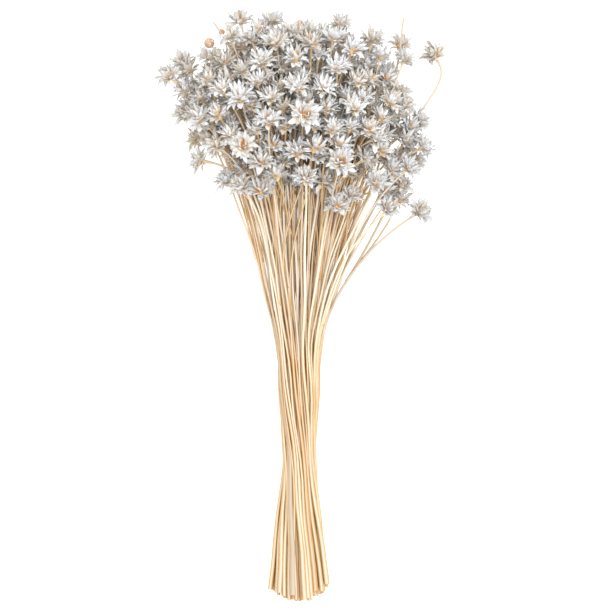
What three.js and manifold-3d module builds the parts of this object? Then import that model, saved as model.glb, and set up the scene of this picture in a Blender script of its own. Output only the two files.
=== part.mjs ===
// A loose bunch of dried hill flowers, lying on a table.
// About 120 straw-coloured stems cross in a twisted waist and fan out into a crown of silvery, pointed
// flower heads. Millimetres, +X across the bunch, +Y from the cut ends to the heads, +Z up off the table.
// The origin is the middle of the bounding box, on the table.
import * as THREE from "three";
import { mergeVertices } from "three/addons/utils/BufferGeometryUtils.js";
import Module from "manifold-3d";

// The bunch
const FLOWERS = 121;
const SEED = 19;
const TABLE = 0;
const ORIGIN_X = 2.06;
const ORIGIN_Y = 251.1;

// The crown of flower heads
const CROWN = new THREE.Vector3(-2, 416, 62);
const CROWN_HALF = new THREE.Vector3(96, 70, 51);
const FOCUS = new THREE.Vector3(-1, 225, 46); // where the fan of stems seems to start
const FAN_SLOPE = new THREE.Vector2(0, 0.084);
const FAN_EDGE = 0.55; // slope of the outermost stems
const HEAD_ROOM = 20; // wanted distance between heads
const DEPTH_SHARE = 0.75; // how much of it may lie in depth
const STEM_ROOM = 8; // wanted distance between a head and another flower's stem
const TRIES = 45;
const LOWEST_HEAD = 9.5;

// The bundle of stems
const CUT_RADIUS = 26; // of the bundle at its splayed cut ends
const CUT_AXIS_Z = 26.4;
const WAIST_RADIUS = 13.4;
const WAIST_Y = 118;
const WAIST_AXIS_Z = 34;
const TWIST_BELOW = 0.4; // radians between the cut ends and the waist
const TWIST_ABOVE = 0.7; // radians from the waist to the fan
const FAN_Y = 225; // here the stems start to bend towards their heads
const FAN_RADIUS = 20.5;
const FAN_AXIS_Z = 45;
const SPREAD = 0.22; // slope of the outermost stems there
const STRAIGHT = 50; // how far they hold it
const STAGGER = 6; // how unevenly the stems were cut
const SPLAY_LIFT = 12; // the outermost cut ends stand this much further up
const STEM_SPACING = 0.165; // share of the bundle's radius
const DISC_EDGE = 0.97;
const PACK_ROUNDS = 120;
const SETTLE_ROUNDS = 24;
const SWAY_STEP = 0.5;
const STEM_AIR = 2.4; // wanted between the middles of two stems
const CORE_AIR = 6.1; // and between a stem's middle and another head's

// One stem: radius of its three-sided section
const STEM_SIDES = 3;
const CUT_STEM = 1.95;
const WAIST_STEM = 0.98;
const NECK_STEM = 0.85;
const COLLAR_STEM = 1.3;
const COLLAR_LENGTH = 7;
const FILL_THICK = 2; // where the stems press together at the waist
const FILL_RADIUS = 13;
const FILL_SIDES = 18;

// One head: a faceted core and its pointed bracts
const CORE_BOTTOM = 2.6;
const CORE_TOP = 1.8;
const CORE_APEX = 2.6;
const CORE_LOW_RADIUS = 2.3;
const CORE_HIGH_RADIUS = 2.5;
const CORE_REACH = 3.1;
const SEAT_GAP = 0.3; // air between a stem and its head
const BRACT_LENGTH = 13.2;
const BRACT_HALF_WIDTH = 2.1;
const BRACT_THICK = 0.9;
const SPIKE_LENGTH = 10.5;
const MID = 0.48; // where along a bract it is widest
const CLEARANCE = 0.4; // least air between two pieces
const WIDE_APART = 0.6; // least angle between two broad bracts of one head
const NARROW_APART = 0.3;
const FRONT_Z = 94; // heads above this height have six sides, the rest five
const LARGE_BUD = 4; // radius above which a bud has more facets

// Heads that share a node hold together by two bracts that cross
const HEAD_NODES = 56;
const LARGEST_CLUSTER = 6;
const LINK_REACH = 28.5;
const LINK_SHARE = 0.63;

// Flowers that stand out in the bunch: place in mm from the middle of the waist and the cut ends, and
// the way each faces. The rest fill the crown between them by rule.
const LANDMARKS = [
  { kind: "head", at: [113.8, 465, 58], toward: [-0.45, 0.8, 0.4], stem: [0.4, 0.92, 0.1], size: 1.05 },
  { kind: "head", at: [-85, 378, 76], toward: [-0.95, 0.15, 0.3], size: 0.95 },
  { kind: "head", at: [101, 336, 68], toward: [0.8, 0.55, 0.25], size: 1.1 },
  { kind: "head", at: [73, 331, 88], toward: [0.65, 0.6, 0.5], size: 1.05 },
  { kind: "head", at: [85, 352, 62], toward: [0.6, 0.7, 0.4], size: 1 },
  { kind: "head", at: [64, 352, 100], toward: [0.3, 0.6, 0.75], size: 1 },
  { kind: "head", at: [-108, 444, 70], toward: [-0.6, 0.75, 0.25], size: 1 },
  { kind: "head", at: [-97, 456, 52], toward: [-0.45, 0.85, 0.2], size: 1 },
  { kind: "head", at: [-74, 460, 76], toward: [-0.35, 0.85, 0.4], size: 1 },
  { kind: "head", at: [-49, 491, 60], toward: [-0.2, 0.95, 0.15], size: 0.95 },
  { kind: "head", at: [-23, 490, 52], toward: [0, 0.95, 0.2], size: 1 },
  { kind: "head", at: [-57, 476, 84], toward: [-0.3, 0.8, 0.5], size: 1 },
  { kind: "head", at: [-2, 479, 78], toward: [0, 0.9, 0.4], size: 1.05 },
  { kind: "head", at: [35, 487, 66], toward: [0.05, 1, 0.1], size: 0.95 },
  { kind: "head", at: [61, 474, 72], toward: [0.2, 0.9, 0.35], size: 1 },
  { kind: "head", at: [85, 471, 52], toward: [0.1, 0.95, 0.25], size: 0.9 },
  { kind: "head", at: [88, 457, 78], toward: [0.35, 0.9, 0.2], size: 0.9 },
  { kind: "head", at: [-95, 413, 60], toward: [-0.7, 0.5, 0.4], size: 1 },
  { kind: "head", at: [100, 407, 58], toward: [0.8, 0.5, 0.25], size: 1 },
  { kind: "head", at: [103, 384, 74], toward: [0.85, 0.4, 0.35], size: 1 },
  { kind: "head", at: [91, 366, 90], toward: [0.6, 0.5, 0.6], size: 1 },
  { kind: "head", at: [-81, 407, 90], toward: [-0.5, 0.5, 0.7], size: 1 },
  { kind: "head", at: [-60, 356, 72], toward: [-0.8, 0.5, 0.3], size: 0.95 },
  { kind: "head", at: [-47, 351, 94], toward: [-0.4, 0.6, 0.7], size: 0.95 },
  { kind: "head", at: [6, 357, 104], toward: [0, 0.9, 0.5], size: 1 },
  { kind: "head", at: [4, 409, 113], toward: [0.05, 0.35, 0.93], size: 1.22 },
  { kind: "head", at: [35, 370, 108], toward: [0.1, 0.3, 0.95], size: 1.1 },
  { kind: "head", at: [43, 343, 88], toward: [0.2, 0.7, 0.6], size: 0.9 },
  { kind: "head", at: [-46, 384, 108], toward: [-0.2, 0.25, 0.95], size: 1.05 },
  { kind: "head", at: [-25, 404, 112], toward: [0, 0.75, 0.6], size: 1.1 },
  { kind: "head", at: [-48, 398, 8.4], toward: [-0.35, 0.85, -0.3], size: 1 },
  { kind: "head", at: [40, 392, 8.4], toward: [0.3, 0.9, -0.3], size: 1 },
  { kind: "head", at: [-4, 446, 8.6], toward: [0.05, 0.95, -0.25], size: 1.05 },
  { kind: "bud", at: [-76, 475, 66], toward: [-0.6, 0.75, 0.2], size: 4.3 },
  { kind: "bud", at: [-66, 485, 62], toward: [-0.3, 0.9, 0.1], size: 2.6 },
  { kind: "bud", at: [0, 492, 60], toward: [0.2, 0.95, 0.1], size: 3 },
  { kind: "bare", at: [88, 494, 70], toward: [0.12, 1, 0], size: 0 },
  { kind: "bare", at: [-72, 490, 74], toward: [-0.6, 0.8, 0.1], size: 0 },
];

// The same numbers in the same order on every run.
function seeded(seed) {
  let state = seed;
  return () => {
    state = (state * 1664525 + 1013904223) % 4294967296;
    return state / 4294967296;
  };
}

const vec = (x, y, z) => new THREE.Vector3(x, y, z);

// How a head lies off the middle of the fan, sideways and in height, as slopes.
function fanSlope(at) {
  const ahead = at.y - FOCUS.y;
  return new THREE.Vector2((at.x - FOCUS.x) / ahead - FAN_SLOPE.x, (at.z - FOCUS.z) / ahead - FAN_SLOPE.y);
}

// A stem's place in the bundle, as a point of the unit disc: outer heads have outer stems.
function discPoint(at, share) {
  return fanSlope(at).normalize().multiplyScalar(share);
}

// The bundle's section at a height: every stem keeps its place in the disc as it turns and widens.
function bundlePoint(disc, turn, radius, y, axisZ) {
  const spot = disc.clone().rotateAround(new THREE.Vector2(), -turn).multiplyScalar(radius);
  return vec(spot.x, y, axisZ + spot.y);
}

// A stem runs straight from its cut end through the waist to the fan, then bends to its head's collar.
function stemPath(flower) {
  const { at, axis, disc, size } = flower;
  const lift = SPLAY_LIFT * disc.lengthSq() + STAGGER * flower.stagger;
  const cut = bundlePoint(disc, TWIST_BELOW + TWIST_ABOVE, CUT_RADIUS, lift, CUT_AXIS_Z);
  const waist = bundlePoint(disc, TWIST_ABOVE, WAIST_RADIUS, WAIST_Y, WAIST_AXIS_Z);
  const fan = bundlePoint(disc, 0, FAN_RADIUS, FAN_Y, FAN_AXIS_Z);
  const below = flower.kind === "head" ? CORE_BOTTOM * size + SEAT_GAP : size + SEAT_GAP;
  const base = at.clone().addScaledVector(axis, -below);
  const collar = base.clone().addScaledVector(axis, -COLLAR_LENGTH);
  const start = vec(SPREAD * disc.x, 1, SPREAD * disc.y + FAN_SLOPE.y);
  const reach = collar.y - FAN_Y;
  const curve = new THREE.CubicBezierCurve3(
    fan,
    fan.clone().addScaledVector(start, STRAIGHT).add(flower.sway),
    collar.clone().addScaledVector(flower.arrive, -0.33 * reach).add(flower.sway),
    collar,
  );
  return { cut, waist, fan, curve, collar, base };
}

// The way a head faces: along the fan, tilted outwards near the outside of the crown.
function facing(at, wobble) {
  const fan = at.clone().sub(FOCUS).normalize();
  const out = at.clone().sub(CROWN).divide(CROWN_HALF);
  const depth = out.lengthSq();
  out.divide(CROWN_HALF).normalize();
  return fan.addScaledVector(out, 0.85 * depth).addScaledVector(wobble, 0.5).normalize();
}

const CROWN_STEPS = [0.1, 0.25, 0.4, 0.5, 0.6, 0.7, 0.8, 0.9, 1];

function newFlower(kind, at, axis, arrive, size, random) {
  const flower = { kind, at, axis, arrive, size, stagger: random(), turn: random() * Math.PI * 2 };
  flower.sway = vec(0, 0, 0);
  flower.crown = at.clone().addScaledVector(axis, 2);
  flower.disc = discPoint(at, Math.min(1, fanSlope(at).length() / FAN_EDGE));
  return flower;
}

function crownPoints(flower) {
  const { curve } = stemPath(flower);
  return CROWN_STEPS.map((t) => curve.getPoint(t));
}

// How well a new flower keeps clear of the ones already placed, 1 where it has all the room it wants.
function roomFor(flower, placed) {
  const points = crownPoints(flower);
  let room = 2;
  for (const other of placed) {
    const apart = flower.at.clone().sub(other.at);
    room = Math.min(room, apart.setZ(DEPTH_SHARE * apart.z).length() / HEAD_ROOM);
    for (const p of other.points) room = Math.min(room, flower.at.distanceTo(p) / STEM_ROOM);
    for (const p of points) room = Math.min(room, other.at.distanceTo(p) / STEM_ROOM);
  }
  return room;
}

// Landmarks first, then each flower takes the roomiest of a few random places in the crown.
function placeFlowers() {
  const random = seeded(SEED);
  const placed = LANDMARKS.map(({ kind, at, toward, stem, size }) => {
    const axis = vec(...toward).normalize();
    const arrive = stem ? vec(...stem).normalize() : axis;
    return newFlower(kind, vec(...at), axis, arrive, size, random);
  });
  for (const flower of placed) flower.points = crownPoints(flower);
  while (placed.length < FLOWERS) {
    let best = null;
    for (let i = 0; i < TRIES; i++) {
      const spot = vec(2 * random() - 1, 2 * random() - 1, 2 * Math.sqrt(random()) - 1);
      const wobble = vec(random() - 0.5, random() - 0.5, random() - 0.5);
      if (spot.lengthSq() > 1) continue;
      const at = spot.multiply(CROWN_HALF).add(CROWN);
      at.z = Math.max(at.z, LOWEST_HEAD);
      const axis = facing(at, wobble);
      const front = Math.max(0, (at.z - CROWN.z) / CROWN_HALF.z);
      const size = 0.86 + 0.22 * front + 0.14 * random();
      const flower = newFlower("head", at, axis, axis, size, random);
      flower.room = roomFor(flower, placed);
      if (!best || flower.room > best.room) best = flower;
    }
    best.points = crownPoints(best);
    placed.push(best);
  }
  packStems(placed);
  settleStems(placed);
  for (const flower of placed) flower.stemRods = stemRods(flower);
  return placed;
}

// Lets the stems sway aside above the fan, off each other and off the heads beside them.
function settleStems(flowers) {
  for (let round = 0; round < SETTLE_ROUNDS; round++) {
    const rods = flowers.map((flower) => stemRods(flower).slice(2, -1));
    const sways = flowers.map(() => vec(0, 0, 0));
    flowers.forEach((flower, i) => {
      for (const rod of rods[i]) {
        flowers.forEach((other, j) => {
          if (i === j) return;
          for (const foreign of rods[j]) sways[i].add(pushOff(rod, foreign.from, foreign.to, STEM_AIR));
          if (other.kind === "head") sways[i].add(pushOff(rod, other.at, other.crown, CORE_AIR * other.size));
        });
      }
    });
    flowers.forEach((flower, i) => flower.sway.add(sways[i].setY(0)));
  }
}

// How far a stem's rod moves off a segment that it would come too close to.
function pushOff(rod, from, to, room) {
  if (Math.min(rod.from.y, rod.to.y) > Math.max(from.y, to.y) + room) return vec(0, 0, 0);
  if (Math.max(rod.from.y, rod.to.y) < Math.min(from.y, to.y) - room) return vec(0, 0, 0);
  const { s, t, distance } = nearest(rod.from, rod.to, from, to);
  if (distance >= room) return vec(0, 0, 0);
  const apart = rod.from.clone().lerp(rod.to, s).sub(from.clone().lerp(to, t));
  return apart.multiplyScalar((SWAY_STEP * (room - distance)) / Math.max(distance, 1e-6));
}

// Spreads the stems evenly over the bundle, outer heads outermost, and pushes apart those that touch.
function packStems(flowers) {
  const order = [...flowers].sort((a, b) => fanSlope(a.at).length() - fanSlope(b.at).length());
  order.forEach((flower, rank) => {
    flower.disc = discPoint(flower.at, Math.sqrt((rank + 0.5) / flowers.length));
  });
  for (let round = 0; round < PACK_ROUNDS; round++) {
    const moves = flowers.map(() => new THREE.Vector2());
    for (let i = 0; i < flowers.length; i++) {
      for (let j = i + 1; j < flowers.length; j++) {
        const apart = flowers[i].disc.clone().sub(flowers[j].disc);
        const distance = apart.length();
        if (distance >= STEM_SPACING) continue;
        const push = (0.4 * (STEM_SPACING - distance)) / Math.max(distance, 1e-6);
        moves[i].addScaledVector(apart, push);
        moves[j].addScaledVector(apart, -push);
      }
    }
    flowers.forEach((flower, i) => {
      flower.disc.add(moves[i]);
      const radius = flower.disc.length();
      if (radius > DISC_EDGE) flower.disc.multiplyScalar(DISC_EDGE / radius);
    });
  }
}

const STRONG_BEND = 0.8;

// Centres and radii of a stem's sections.
function stemSections(flower) {
  const { cut, waist, fan, curve, collar, base } = stemPath(flower);
  const bend = curve.getTangent(0).angleTo(curve.getTangent(1));
  const parts = bend > STRONG_BEND ? 4 : 2;
  const sections = [
    { at: cut, radius: CUT_STEM },
    { at: waist, radius: WAIST_STEM },
    { at: fan, radius: WAIST_STEM },
  ];
  for (let i = 1; i < parts; i++) {
    const t = i / parts;
    sections.push({ at: curve.getPoint(t), radius: WAIST_STEM + (NECK_STEM - WAIST_STEM) * t });
  }
  sections.push({ at: collar, radius: NECK_STEM });
  sections.push({ at: base, radius: flower.kind === "head" ? COLLAR_STEM : NECK_STEM });
  return sections;
}

// Nearest points of two segments, as shares of their lengths, with the distance between them.
function nearest(a0, a1, b0, b1) {
  const u = a1.clone().sub(a0);
  const v = b1.clone().sub(b0);
  const w = a0.clone().sub(b0);
  const uu = u.dot(u);
  const vv = v.dot(v);
  const uv = u.dot(v);
  const uw = u.dot(w);
  const vw = v.dot(w);
  const span = uu * vv - uv * uv;
  const clamp = (x) => Math.min(1, Math.max(0, x));
  let s = span > 1e-9 ? clamp((uv * vw - vv * uw) / span) : 0;
  const t = clamp((uv * s + vw) / vv);
  s = clamp((uv * t - uw) / uu);
  const gap = w.addScaledVector(u, s).addScaledVector(v, -t);
  return { s, t, distance: gap.length() };
}

// A tapering rod is { from, to, fromRadius, toRadius }; the air between two of them.
function air(a, b) {
  const { s, t, distance } = nearest(a.from, a.to, b.from, b.to);
  const ra = a.fromRadius + (a.toRadius - a.fromRadius) * s;
  const rb = b.fromRadius + (b.toRadius - b.fromRadius) * t;
  return distance - ra - rb;
}

function stemRods(flower) {
  const sections = stemSections(flower);
  return sections.slice(1).map((end, i) => ({
    from: sections[i].at,
    to: end.at,
    fromRadius: sections[i].radius,
    toRadius: end.radius,
  }));
}

function coreRod(head) {
  const half = head.axis.clone().multiplyScalar(0.5 * head.size);
  return {
    from: head.at.clone().sub(half),
    to: head.at.clone().add(half),
    fromRadius: CORE_REACH * head.size,
    toRadius: CORE_REACH * head.size,
  };
}

// Groups neighbouring heads, closest first, until the wanted number of groups is left.
function clusterHeads(flowers) {
  const heads = flowers.filter((flower) => flower.kind === "head");
  const pairs = [];
  heads.forEach((a, i) => {
    heads.forEach((b, j) => {
      if (j > i && a.at.distanceTo(b.at) < LINK_REACH && canLink(a, b, flowers)) pairs.push({ a, b });
    });
  });
  pairs.sort((p, q) => p.a.at.distanceTo(p.b.at) - q.a.at.distanceTo(q.b.at));
  let groups = heads.map((head) => ({ heads: [head], links: [] }));
  for (const { a, b } of pairs) {
    const ga = groups.find((g) => g.heads.includes(a));
    const gb = groups.find((g) => g.heads.includes(b));
    if (groups.length <= HEAD_NODES || ga === gb) continue;
    if (ga.heads.length + gb.heads.length > LARGEST_CLUSTER) continue;
    ga.heads.push(...gb.heads);
    ga.links.push(...gb.links, [a, b]);
    groups = groups.filter((g) => g !== gb);
  }
  return groups;
}

const LOWEST_LINK = -0.75; // a link bract may lean back this much, as the cosine to the head's axis
const HIGHEST_LINK = 0.95;

function canLink(a, b, flowers) {
  const way = b.at.clone().sub(a.at).normalize();
  const fromA = way.dot(a.axis);
  const fromB = -way.dot(b.axis);
  if (![fromA, fromB].every((c) => c > LOWEST_LINK && c < HIGHEST_LINK)) return false;
  const link = { from: a.at, to: b.at, fromRadius: BRACT_HALF_WIDTH, toRadius: BRACT_HALF_WIDTH };
  return flowers.every((flower) => {
    const own = flower === a || flower === b;
    if (!own && flower.kind === "head" && air(link, coreRod(flower)) < CLEARANCE) return false;
    const rods = own ? flower.stemRods.slice(0, -1) : flower.stemRods;
    return rods.every((rod) => air(link, rod) > CLEARANCE);
  });
}

// The core's corners and the triangles that its bracts grow from.
function headCore(head) {
  const sides = head.at.z > FRONT_Z ? 6 : 5;
  const turn = new THREE.Quaternion().setFromAxisAngle(vec(0, 0, 1), head.turn);
  const frame = new THREE.Quaternion().setFromUnitVectors(vec(0, 0, 1), head.axis).multiply(turn);
  const place = (radius, angle, z) =>
    vec(radius * Math.cos(angle), radius * Math.sin(angle), z)
      .multiplyScalar(head.size)
      .applyQuaternion(frame)
      .add(head.at);
  const points = [];
  const step = (2 * Math.PI) / sides;
  for (let i = 0; i < sides; i++) points.push(place(CORE_LOW_RADIUS, i * step, -CORE_BOTTOM));
  for (let i = 0; i < sides; i++) points.push(place(CORE_HIGH_RADIUS, (i + 0.5) * step, CORE_TOP));
  points.push(place(0, 0, CORE_APEX));
  const bases = [];
  for (let i = 0; i < sides; i++) {
    const next = (i + 1) % sides;
    bases.push({ layer: "outer", corners: [i, next, sides + i], angle: (i + 0.5) * step });
    bases.push({ layer: "inner", corners: [sides + i, next, sides + next], angle: (i + 1) * step });
    bases.push({ layer: "spike", corners: [sides + i, sides + next, 2 * sides], angle: (i + 1) * step });
  }
  const floor = [];
  for (let i = 1; i + 1 < sides; i++) floor.push([0, i + 1, i]);
  return { sides, frame, points, bases, floor };
}

const RISE = { outer: 0.2, inner: 0.72, spike: 1.2 }; // radians above the head's equator
const LENGTH = { outer: BRACT_LENGTH, inner: BRACT_LENGTH, spike: SPIKE_LENGTH };

// A bract's middle and tip for a direction given by its angle round the head and its rise.
function aim(head, angle, rise, length) {
  const way = vec(Math.cos(rise) * Math.cos(angle), Math.cos(rise) * Math.sin(angle), Math.sin(rise));
  way.applyQuaternion(head.core.frame);
  const middle = head.at.clone().addScaledVector(way, MID * length);
  const tip = head.at.clone().addScaledVector(way, length);
  const sunk = Math.max(0, TABLE - tip.z);
  tip.z += sunk;
  middle.z += sunk * MID;
  return { way: tip.clone().sub(head.at).normalize(), middle, tip };
}

function bractRods(bract) {
  if (!bract.wide) {
    const from = bract.middle.clone().lerp(bract.tip, -0.45);
    return [{ from, to: bract.tip, fromRadius: 1.7, toRadius: 0.05 }];
  }
  const root = bract.middle.clone().lerp(bract.tip, -0.45);
  return [
    { from: root, to: bract.middle, fromRadius: 1.5, toRadius: BRACT_HALF_WIDTH },
    { from: bract.middle, to: bract.tip, fromRadius: BRACT_HALF_WIDTH, toRadius: 0.05 },
  ];
}

// Ways to bend a bract, least change first: turn, rise and share of its length.
function bendings() {
  const list = [];
  for (const turn of [0, 0.17, -0.17, 0.34, -0.34]) {
    for (const rise of [0, 0.2, -0.2, 0.4, -0.4]) {
      for (const share of [1, 0.88, 0.76, 0.64, 0.52]) {
        list.push({ turn, rise, share, cost: Math.abs(turn) + Math.abs(rise) + 4 * (1 - share) });
      }
    }
  }
  return list.sort((a, b) => a.cost - b.cost);
}

const BENDINGS = bendings();
const SHORTEST = 0.33;
const NEAR_HEADS = 27;
const NEAR_STEM = 14;
const LEAST_HEIGHT = 1.3; // of a bract's middle above the table

// Chooses every bract of every head so that it stays clear of what belongs to other flowers.
function growBracts(flowers, groups) {
  const random = seeded(SEED + 1);
  const heads = flowers.filter((flower) => flower.kind === "head");
  for (const head of heads) {
    head.core = headCore(head);
    head.bracts = head.core.bases.map(() => null);
    head.rods = [];
  }
  for (const head of heads) {
    head.nearHeads = heads.filter((other) => other !== head && head.at.distanceTo(other.at) < NEAR_HEADS);
    head.nearStems = [];
    for (const flower of flowers) {
      const rods = flower === head ? flower.stemRods.slice(0, -1) : flower.stemRods;
      head.nearStems.push(...rods.filter((rod) => air(coreRod(head), rod) < NEAR_STEM));
    }
  }
  for (const group of groups) for (const [a, b] of group.links) linkHeads(a, b);
  for (const layer of ["outer", "inner", "spike"]) {
    for (const head of heads) {
      head.core.bases.forEach((base, i) => {
        const angle = base.angle + 0.25 * (random() - 0.5);
        const rise = RISE[layer] + 0.3 * (random() - 0.5);
        const length = LENGTH[layer] * head.size * (0.92 + 0.16 * random());
        if (base.layer !== layer || head.bracts[i]) return;
        setBract(head, i, bendClear(head, base, angle, rise, length));
      });
    }
  }
}

function setBract(head, i, bract) {
  head.bracts[i] = bract;
  head.rods.push(...bractRods(bract));
}

function bendClear(head, base, angle, rise, length) {
  const wide = base.layer === "outer";
  for (const { turn, rise: lift, share } of BENDINGS) {
    const bract = { wide, ...aim(head, angle + turn, rise + lift, length * share) };
    if (isClear(head, bract)) return bract;
  }
  return { wide: false, ...aim(head, angle, rise, length * SHORTEST) };
}

function isClear(head, bract) {
  if (bract.middle.z < LEAST_HEIGHT) return false;
  for (const mine of head.bracts) {
    if (mine && mine.way.angleTo(bract.way) < (mine.wide && bract.wide ? WIDE_APART : NARROW_APART)) return false;
  }
  const rods = bractRods(bract);
  for (const rod of rods) {
    for (const other of head.nearHeads) {
      if (air(rod, coreRod(other)) < CLEARANCE) return false;
      for (const foreign of other.rods) if (air(rod, foreign) < CLEARANCE) return false;
    }
    for (const stem of head.nearStems) if (air(rod, stem) < CLEARANCE) return false;
  }
  return true;
}

// Two neighbours each send a bract past the other's, so that the pair holds together.
function linkHeads(a, b) {
  for (const [from, to] of [[a, b], [b, a]]) {
    const way = to.at.clone().sub(from.at);
    const length = LINK_SHARE * way.length();
    way.normalize();
    let best = -1;
    let bestDot = -2;
    from.core.bases.forEach((base, i) => {
      if (base.layer === "spike" || from.bracts[i]) return;
      const nominal = aim(from, base.angle, RISE[base.layer], 1).way;
      if (nominal.dot(way) > bestDot) [best, bestDot] = [i, nominal.dot(way)];
    });
    const middle = from.at.clone().addScaledVector(way, MID * length);
    const tip = from.at.clone().addScaledVector(way, length);
    setBract(from, best, { wide: true, way, middle, tip });
  }
}

const wasm = await Module();
wasm.setup();

function solid(points, triangles) {
  const vertProperties = new Float32Array(points.flatMap((p) => [p.x, p.y, p.z]));
  return new wasm.Manifold(new wasm.Mesh({ numProp: 3, vertProperties, triVerts: new Uint32Array(triangles.flat()) }));
}

// A head: the core with a bract raised on each of its triangles.
function headSolid(head) {
  const { points, bases, floor } = head.core;
  const corners = points.map((p) => p.clone());
  const triangles = [...floor];
  bases.forEach(({ layer, corners: [a, b, c] }, i) => {
    const { wide, way, middle, tip } = head.bracts[i];
    const top = corners.push(tip) - 1;
    if (!wide) {
      triangles.push([a, b, top], [b, c, top], [c, a, top]);
      return;
    }
    const side = head.axis.clone().cross(way).normalize();
    const up = way.clone().cross(side);
    const width = BRACT_HALF_WIDTH * Math.min(1, tip.distanceTo(head.at) / BRACT_LENGTH + 0.1);
    const left = middle.clone().addScaledVector(side, -width);
    const right = middle.clone().addScaledVector(side, width);
    const keel = middle.clone().addScaledVector(up, layer === "outer" ? BRACT_THICK : -BRACT_THICK);
    const section = layer === "outer" ? [left, right, keel] : [left, keel, right];
    const [p, q, r] = section.map((corner) => corners.push(corner) - 1);
    triangles.push([a, b, q], [a, q, p], [b, c, r], [b, r, q], [c, a, p], [c, p, r]);
    triangles.push([p, q, top], [q, r, top], [r, p, top]);
  });
  for (const corner of corners) corner.z = Math.max(corner.z, TABLE);
  return solid(corners, triangles);
}

// A stem: three-sided sections joined along its length.
function stemSolid(flower) {
  const sections = stemSections(flower);
  const points = [];
  const triangles = [[0, 2, 1]];
  sections.forEach(({ at, radius }, k) => {
    const before = sections[Math.max(0, k - 1)].at;
    const after = sections[Math.min(sections.length - 1, k + 1)].at;
    const way = after.clone().sub(before).normalize();
    const turn = new THREE.Quaternion().setFromUnitVectors(vec(0, 1, 0), way);
    for (let i = 0; i < STEM_SIDES; i++) {
      const angle = flower.turn - (2 * Math.PI * i) / STEM_SIDES;
      const corner = vec(radius * Math.cos(angle), 0, radius * Math.sin(angle));
      corner.applyQuaternion(turn).add(at);
      corner.z = Math.max(corner.z, TABLE);
      points.push(corner);
    }
    if (k === 0) return;
    for (let i = 0; i < STEM_SIDES; i++) {
      const a = (k - 1) * STEM_SIDES + i;
      const b = (k - 1) * STEM_SIDES + ((i + 1) % STEM_SIDES);
      triangles.push([a, b, b + STEM_SIDES], [a, b + STEM_SIDES, a + STEM_SIDES]);
    }
  });
  const end = points.length - STEM_SIDES;
  triangles.push([end, end + 1, end + 2]);
  return solid(points, triangles);
}

// The stems press together at the waist and hold as one body there.
function waistSolid() {
  const points = [];
  const triangles = [];
  for (const y of [WAIST_Y - FILL_THICK / 2, WAIST_Y + FILL_THICK / 2]) {
    for (let i = 0; i < FILL_SIDES; i++) {
      const angle = (-2 * Math.PI * i) / FILL_SIDES;
      points.push(vec(FILL_RADIUS * Math.cos(angle), y, WAIST_AXIS_Z + FILL_RADIUS * Math.sin(angle)));
    }
  }
  for (let i = 0; i < FILL_SIDES; i++) {
    const next = (i + 1) % FILL_SIDES;
    triangles.push([i, next, next + FILL_SIDES], [i, next + FILL_SIDES, i + FILL_SIDES]);
    if (i > 0 && next > 0) triangles.push([0, next, i], [FILL_SIDES, FILL_SIDES + i, FILL_SIDES + next]);
  }
  return solid(points, triangles);
}

// A closed bud: a faceted ball.
function budSolid(flower) {
  const ball = new THREE.IcosahedronGeometry(flower.size, flower.size > LARGE_BUD ? 1 : 0);
  ball.deleteAttribute("normal");
  ball.deleteAttribute("uv");
  ball.rotateX(flower.turn).translate(flower.at.x, flower.at.y, flower.at.z);
  const merged = mergeVertices(ball);
  const points = [];
  for (let i = 0; i < merged.attributes.position.count; i++) {
    points.push(vec(0, 0, 0).fromBufferAttribute(merged.attributes.position, i));
  }
  const corners = merged.index.array;
  const triangles = [];
  for (let i = 0; i < corners.length; i += 3) triangles.push([...corners.slice(i, i + 3)]);
  return solid(points, triangles);
}

function addMesh(group, name, body, colour, roughness) {
  const { vertProperties, triVerts } = body.getMesh();
  const geometry = new THREE.BufferGeometry();
  geometry.setAttribute("position", new THREE.BufferAttribute(new Float32Array(vertProperties), 3));
  geometry.setIndex(new THREE.BufferAttribute(new Uint32Array(triVerts), 1));
  geometry.translate(-ORIGIN_X, -ORIGIN_Y, 0);
  geometry.computeVertexNormals();
  const material = new THREE.MeshStandardMaterial({ color: colour, roughness, flatShading: true });
  const mesh = new THREE.Mesh(geometry, material);
  mesh.name = name;
  group.add(mesh);
}

const SILVER = [0xc6bfb2, 0xbdb6aa, 0xcfc8bb];
const STRAW = 0xeacda6;
const TAN = 0xdcc0a8;

function buildBunch() {
  const flowers = placeFlowers();
  const groups = clusterHeads(flowers);
  growBracts(flowers, groups);
  const bunch = new THREE.Group();
  bunch.name = "dried_hill_flower_bunch";
  const stems = flowers.map(stemSolid).reduce((all, stem) => all.add(stem), waistSolid());
  addMesh(bunch, "stems", stems, STRAW, 0.7);
  groups.forEach((members, i) => {
    const body = members.heads.map(headSolid).reduce((all, head) => all.add(head));
    addMesh(bunch, `flower_heads_${i + 1}`, body, SILVER[i % SILVER.length], 0.85);
  });
  const buds = flowers.filter((flower) => flower.kind === "bud");
  buds.forEach((bud, i) => addMesh(bunch, `bud_${i + 1}`, budSolid(bud), TAN, 0.75));
  return bunch;
}

export default buildBunch();
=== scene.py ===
# %% [markdown]
# # A loose bunch of dried hill flowers
#
# About 120 straw-coloured stalks splay at their cut ends, press together in a twisted waist and fan
# out into a crown of silvery, papery flower heads. The bunch lies on a table and is seen from above.
#
# Only the flowers that stand out are placed one by one. A rule with a fixed seed gives every other one
# its place, and all of them their stems and bracts. Each piece is then grown from those numbers.

# %% Load the solid model as a fixed frame
import math
from types import SimpleNamespace

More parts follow.
